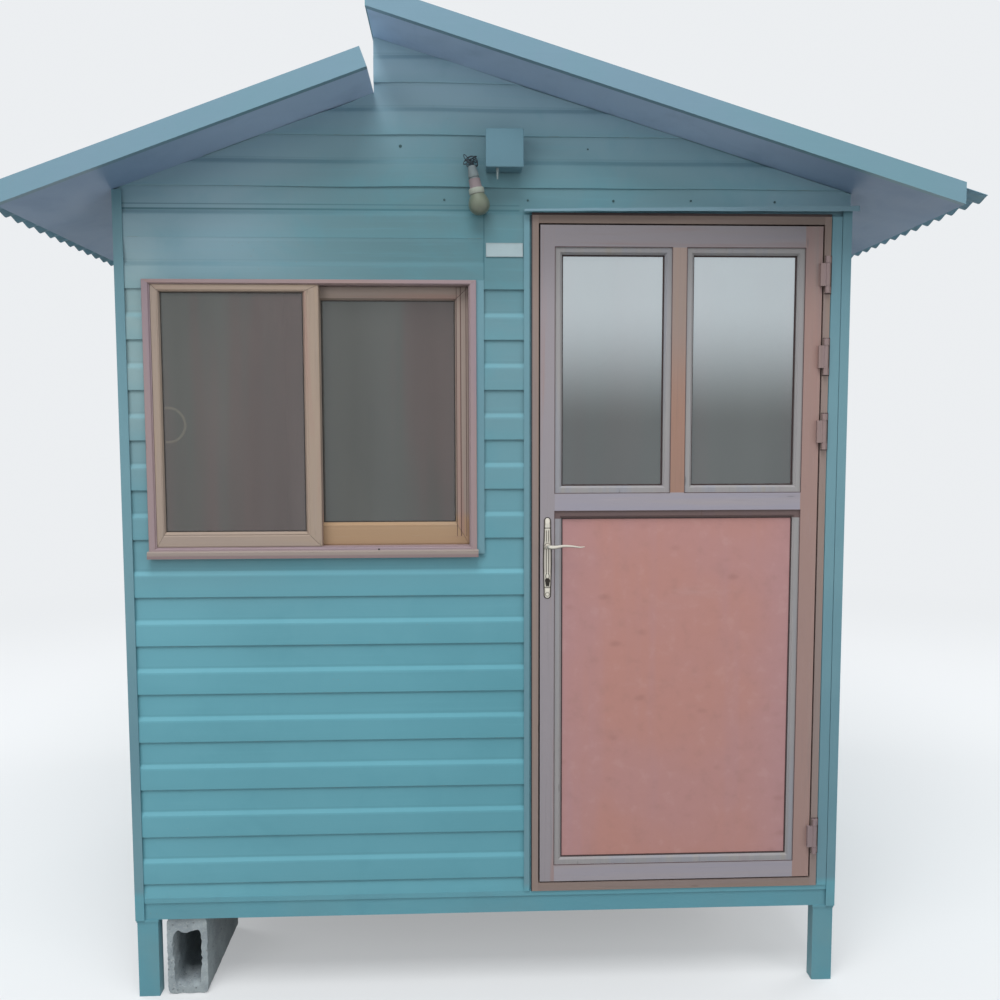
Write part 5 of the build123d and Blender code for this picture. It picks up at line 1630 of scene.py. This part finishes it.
def scrolls(face):
    """Pair of dark scrolls round the keyhole: two mirrored lines whose distance from the middle is
    a sine of the height, each ended in a curl."""
    middle = sum(span("lock_cylinder", 0)) / 2
    head = span("lock_cylinder", 2)[1] + 16 * MM
    t = np.linspace(0, 1, 40)
    reach = (2.2 + 3.6 * np.sin(np.pi * t) ** 2 + 1.8 * np.sin(3 * np.pi * t)) * MM
    y, z = face - 0.3 * MM * np.sin(np.pi * t), head - 42 * MM * t
    lines = [np.stack([middle + side * reach, y, z], -1) for side in (-1, 1)]
    return joined(*(tube(line, np.full(40, 1 * MM), sides=8, up=(0.1, 1.0, 0.0)) for line in lines))


class CABIN_OT_handle(bpy.types.Operator):
    """Handle plates, levers, lock and its scrolls"""

    bl_idname = "cabin.handle"
    bl_label = "Door handle"

    def execute(self, context):
        metal = worn_metal("champagne_metal", context.scene.cabin_fittings.champagne)
        dark = small("dark_brass")
        shared = {"slot": "handle_metal", "smooth": 50}
        # The dark plates beneath, a little wider, are painted shadow round the long plates
        for name, margin, finish in (("long_plates", 0.0, metal), ("plate_backs", 2.3 * MM, dark)):
            faces = ((LEAF_FRONT, -1), (LEAF_BACK, 1))
            shapes, grime = zip(*(handle_plate(face, way, margin) for face, way in faces))
            replaced = [] if margin else ["handle_plates"]
            others = {"replaces": replaced, "numbers": {"grime": np.concatenate(grime)}}
            piece(name, joined(*shapes), "door", finish, **others, **shared)
        shape, grime = lever_bars()
        others = {"replaces": ["door_levers"], "numbers": {"grime": grime}}
        piece("lever_pair", shape, "lever", metal, **others, **shared)
        dress(dark, "lock_cylinder")
        plate_front = span("handle_plates", 1)[0]
        piece("key_scrolls", scrolls(plate_front + 2.6 * MM), "door", dark, **shared)
        return {"FINISHED"}


def lamp_frame(tilt):
    """Place of the lamp's top and its upward direction, from the hook's and holder's boxes."""
    x, y = sum(span("lamp_hook", 0)) / 2, sum(span("lamp_holder", 1)) / 2
    top = np.array([x, y, span("lamp_hook", 2)[1] - 14 * MM])
    return top, np.array([-math.sin(tilt), 0.0, math.cos(tilt)])


class CABIN_OT_lamp(bpy.types.Operator):
    """Hook wire, holder and bulb of the outside lamp"""

    bl_idname = "cabin.lamp"
    bl_label = "Lamp"

    def execute(self, context):
        settings = context.scene.cabin_fittings
        hook, up = lamp_frame(settings.lamp_tilt)
        end = hook - up * 26 * MM
        wall = span("lamp_hook", 1)[1]
        t = np.linspace(0, 1, 150)
        swing = np.sin(np.pi * t) ** 0.6
        start, finish = np.array([hook[0], wall + 1 * MM, hook[2] - 2 * MM]), end - up * 3 * MM
        strands = []
        for across, tall, lag in WIRE_TURNS:
            line = start + (finish - start) * t[:, None] ** 1.5
            line[:, 0] += swing * 21 * MM * np.sin(2 * np.pi * across * t + lag)
            line[:, 1] -= swing * 9 * MM * (1 + np.cos(2 * np.pi * across * t + lag + 1))
            line[:, 2] += swing * (5 * MM + 14 * MM * np.sin(2 * np.pi * tall * t + 2 * lag))
            strands.append(tube(line, np.full(len(t), 1.2 * MM), sides=7, up=(0.31, 0.47, 0.83)))
        wire = {"slot": "hook_steel", "smooth": 50, "replaces": ["lamp_hook"]}
        piece("hook_wires", joined(*strands), "cabin", small("hook_wire"), **wire)

        foot = -settings.holder_length / MM + 0.4
        profile = [*HOLDER_PROFILE, (20.0, foot), (0, foot)]
        holder = turned(np.array(profile) * MM, end, up, sides=LAMP_SIDES)
        flags = np.repeat([float(place < CLAY_FROM) for _, place in profile[1:]], LAMP_SIDES)
        shared = {"slot": "holder_plastic", "smooth": 50}
        others = {"replaces": ["lamp_holder"], "second": (small("holder_clay"), flags)}
        piece("holder_body", holder, "cabin", small("holder_cap"), **others, **shared)
        band = turned_ring(np.array(HOLDER_RIM) * MM, end, up, sides=LAMP_SIDES)
        piece("holder_rim", band, "cabin", small("holder_rim"), **shared)

        t = np.linspace(0, 1, 26)
        neck, belly = 21.5 * MM, 31.5 * MM
        radius = neck + (belly - neck) * np.sin(np.clip(t / 0.50, 0, 1) * np.pi / 2)
        radius = radius * np.sqrt(np.clip(1 - (np.clip(t - 0.50, 0, 1) / 0.50) ** 2, 0, 1))
        way = -settings.holder_length - settings.bulb_length * t
        glass = turned(np.stack([radius, way], -1), end, up, sides=LAMP_SIDES)
        bulb = {"slot": "dusty_glass", "smooth": 60, "replaces": ["lamp_bulb"]}
        piece("bulb_glass", glass, "cabin", small("bulb_dust"), **bulb)
        return {"FINISHED"}


class CABIN_OT_fittings(bpy.types.Operator):
    """Junction box with its lid screws and gland, and the bare number plate"""

    bl_idname = "cabin.fittings"
    bl_label = "Box and number plate"

    def execute(self, context):
        trim = context.scene.cabin_trim
        cover = teal_paint("box_teal", trim.case, shade(trim.case, 0.92)[:3], trim.dust, along="Z")
        x0, x1, y0, y1, z0, z1 = span("junction_box", 0, 1, 2)
        foot, lid, edge = z0 + 30 * MM, 8 * MM, 2 * MM
        case = joined(
            soft_box((x0 + edge, y0 + lid, foot + edge), (x1 - edge, y1, z1 - edge), 4 * MM),
            soft_box((x0, y0, foot), (x1, y0 + lid - 1 * MM, z1), 3 * MM),
        )
        shared = {"slot": "teal_paint", "smooth": 50, "replaces": ["junction_box"]}
        piece("box_case", case, "cabin", cover, **shared)
        stub_place = (x0 + 35 * MM, WALL_FRONT - 54 * MM, foot)
        stub = turned(np.array(STUB_PROFILE) * MM, stub_place, (0, 0, 1), sides=16)
        piece("box_stub", stub, "cabin", small("stub_white"), "holder_plastic", smooth=50)
        dome = np.array([(0, 0.0), (3.6, 0.0), (3.6, 0.5), (1.2, 1.1), (0, 0.5)]) * MM
        screws = [
            turned(dome, (x, y0 + 1.1 * MM, z), FORWARD, sides=12)
            for x in (x0 + 9 * MM, x1 - 9 * MM)
            for z in (foot + 9 * MM, z1 - 9 * MM)
        ]
        piece("lid_screws", joined(*screws), "cabin", small("lid_screw"), "hook_steel", smooth=40)

        x0, x1, y0, y1, z0, z1 = span("number_plate", 0, 1, 2)
        rim = 2.2 * MM
        low, high = (x0 + rim, y0 + 0.6 * MM, z0 + rim), (x1 - rim, y1, z1 - rim)
        shared = {"slot": "plate_enamel", "replaces": ["number_plate"]}
        piece("plate_field", soft_box(low, high, 0.3 * MM), "cabin", small("plate_white"), **shared)
        section = [(0.0, y1), (0.0, y0 + 0.5 * MM), (0.6 * MM, y0), (rim, y0 + 0.1 * MM)]
        ring = mitred_ring(x0, x1, z0, z1, [*section, (rim + 0.4 * MM, y1)])
        piece("plate_edge", ring, "cabin", small("plate_rim"), "plate_enamel")
        return {"FINISHED"}


# Stage


def area_lamp(name, place, target, size, energy):
    """Square lamp that faces its target and doesn't mirror in the panes."""
    lamp = bpy.data.lights.new(name, "AREA")
    lamp.shape, lamp.size, lamp.energy = "SQUARE", size, energy
    lamp.color = LAMP_TINTS.get(name, (1.0, 1.0, 1.0))
    lamp_object = bpy.data.objects.new(name, lamp)
    bpy.context.scene.collection.objects.link(lamp_object)
    lamp_object.location = place
    lamp_object.visible_glossy = False
    aim = Vector(target) - Vector(place)
    lamp_object.rotation_euler = aim.to_track_quat("-Z", "Y").to_euler()


def pale_floor(settings):
    """Pale floor that keeps the shadow: the camera, mirrors and glass see its pale colour, which
    turns into the backdrop's with the distance, and other rays meet a duller floor."""
    f = Finish("floor_pale")
    direct = f.direct()
    far = f.node("VectorMath", {"operation": "LENGTH"}, {0: f.place}, output="Value")
    fade = f.ramp(far, settings.plain_from, settings.plain_to)
    dull = f.shader("BsdfDiffuse", Color=linear(settings.floor_bounce))
    pale = f.shader("BsdfDiffuse", Color=linear(settings.floor))
    plain = f.shader("Emission", Color=linear(settings.backdrop), Strength=1.0)
    return f.ended(f.blend(direct, dull, f.blend(fade * 0.60 + 0.40, pale, plain)))


def surroundings(settings):
    """World that lights the cabin softly; the camera, mirrors and glass see the pale backdrop."""
    w = Finish("surroundings", "World")
    light = w.shader("Background", Color=SKY_LIGHT, Strength=settings.sky)
    backdrop = w.shader("Background", Color=linear(settings.backdrop))
    return w.ended(w.blend(w.direct(), light, backdrop))


class CABIN_OT_stage(bpy.types.Operator):
    """Camera, lamps, pale surroundings and floor"""

    bl_idname = "cabin.stage"
    bl_label = "Stage"

    def execute(self, context):
        scene = context.scene
        settings = scene.cabin_stage
        scene.view_settings.view_transform = "Standard"

        yaw, pitch, roll = settings.yaw, settings.pitch, settings.roll
        flat = math.cos(pitch)
        ahead = Vector((math.sin(yaw) * flat, math.cos(yaw) * flat, math.sin(pitch)))
        level = Vector((math.cos(yaw), -math.sin(yaw), 0.0))
        upright = level.cross(ahead)
        right = level * math.cos(roll) + upright * math.sin(roll)
        up = upright * math.cos(roll) - level * math.sin(roll)
        camera = bpy.data.objects.new("camera", bpy.data.cameras.new("camera"))
        scene.collection.objects.link(camera)
        camera.data.sensor_width = 36
        camera.data.lens = settings.lens
        turn = Matrix((right, up, -ahead)).transposed().to_4x4()
        place = Vector((settings.camera_x, settings.camera_y, settings.camera_z))
        camera.matrix_world = Matrix.Translation(place) @ turn
        scene.camera = camera
        scene.world = surroundings(settings)

        corner_signs = ((-1, -1), (1, -1), (1, 1), (-1, 1))
        corners_flat = [(x * FLOOR_HALF, y * FLOOR_HALF, 0) for x, y in corner_signs]
        mesh = bpy.data.meshes.new("floor")
        mesh.from_pydata(corners_flat, [], [[0, 1, 2, 3]])
        floor = bpy.data.objects.new("floor", mesh)
        scene.collection.objects.link(floor)
        mesh.materials.append(pale_floor(settings))

        for name, (place, target, size, power) in LAMPS.items():
            area_lamp(name, place, target, size, getattr(settings, power))
        return {"FINISHED"}


class CABIN_PT_sidebar(bpy.types.Panel):
    """Lists the cabin's operators and settings"""

    bl_idname = "CABIN_PT_sidebar"
    bl_label = "Site cabin"
    bl_space_type = "VIEW_3D"
    bl_region_type = "UI"
    bl_category = "Cabin"

    def draw(self, context):
        for operator in OPERATORS:
            self.layout.operator(operator.bl_idname)
        for key, group in SETTINGS.items():
            box = self.layout.box()
            box.label(text=key.replace("cabin_", "").capitalize())
            for name in group.__annotations__:
                box.prop(getattr(context.scene, key), name)


OPERATORS = (
    CABIN_OT_front_boards,
    CABIN_OT_side_boards,
    CABIN_OT_roof,
    CABIN_OT_base,
    CABIN_OT_window,
    CABIN_OT_door,
    CABIN_OT_handle,
    CABIN_OT_lamp,
    CABIN_OT_fittings,
    CABIN_OT_stage,
)
SETTINGS = {
    "cabin_cladding": CladdingSettings,
    "cabin_trim": TrimSettings,
    "cabin_roof": RoofSettings,
    "cabin_joinery": JoinerySettings,
    "cabin_fittings": FittingSettings,
    "cabin_stage": StageSettings,
}
CLASSES = (*SETTINGS.values(), *OPERATORS, CABIN_PT_sidebar)


def register():
    """Registers the classes and hangs the settings on the scene."""
    for made in CLASSES:
        bpy.utils.register_class(made)
    for key, group in SETTINGS.items():
        setattr(bpy.types.Scene, key, PointerProperty(type=group))


def unregister():
    """Takes the settings and classes away again."""
    for key in SETTINGS:
        delattr(bpy.types.Scene, key)
    for made in reversed(CLASSES):
        bpy.utils.unregister_class(made)


def main():
    """Builds the dressed cabin."""
    register()
    for operator in OPERATORS:
        group, name = operator.bl_idname.split(".")
        getattr(getattr(bpy.ops, group), name)()


if __name__ == "__main__":
    main()
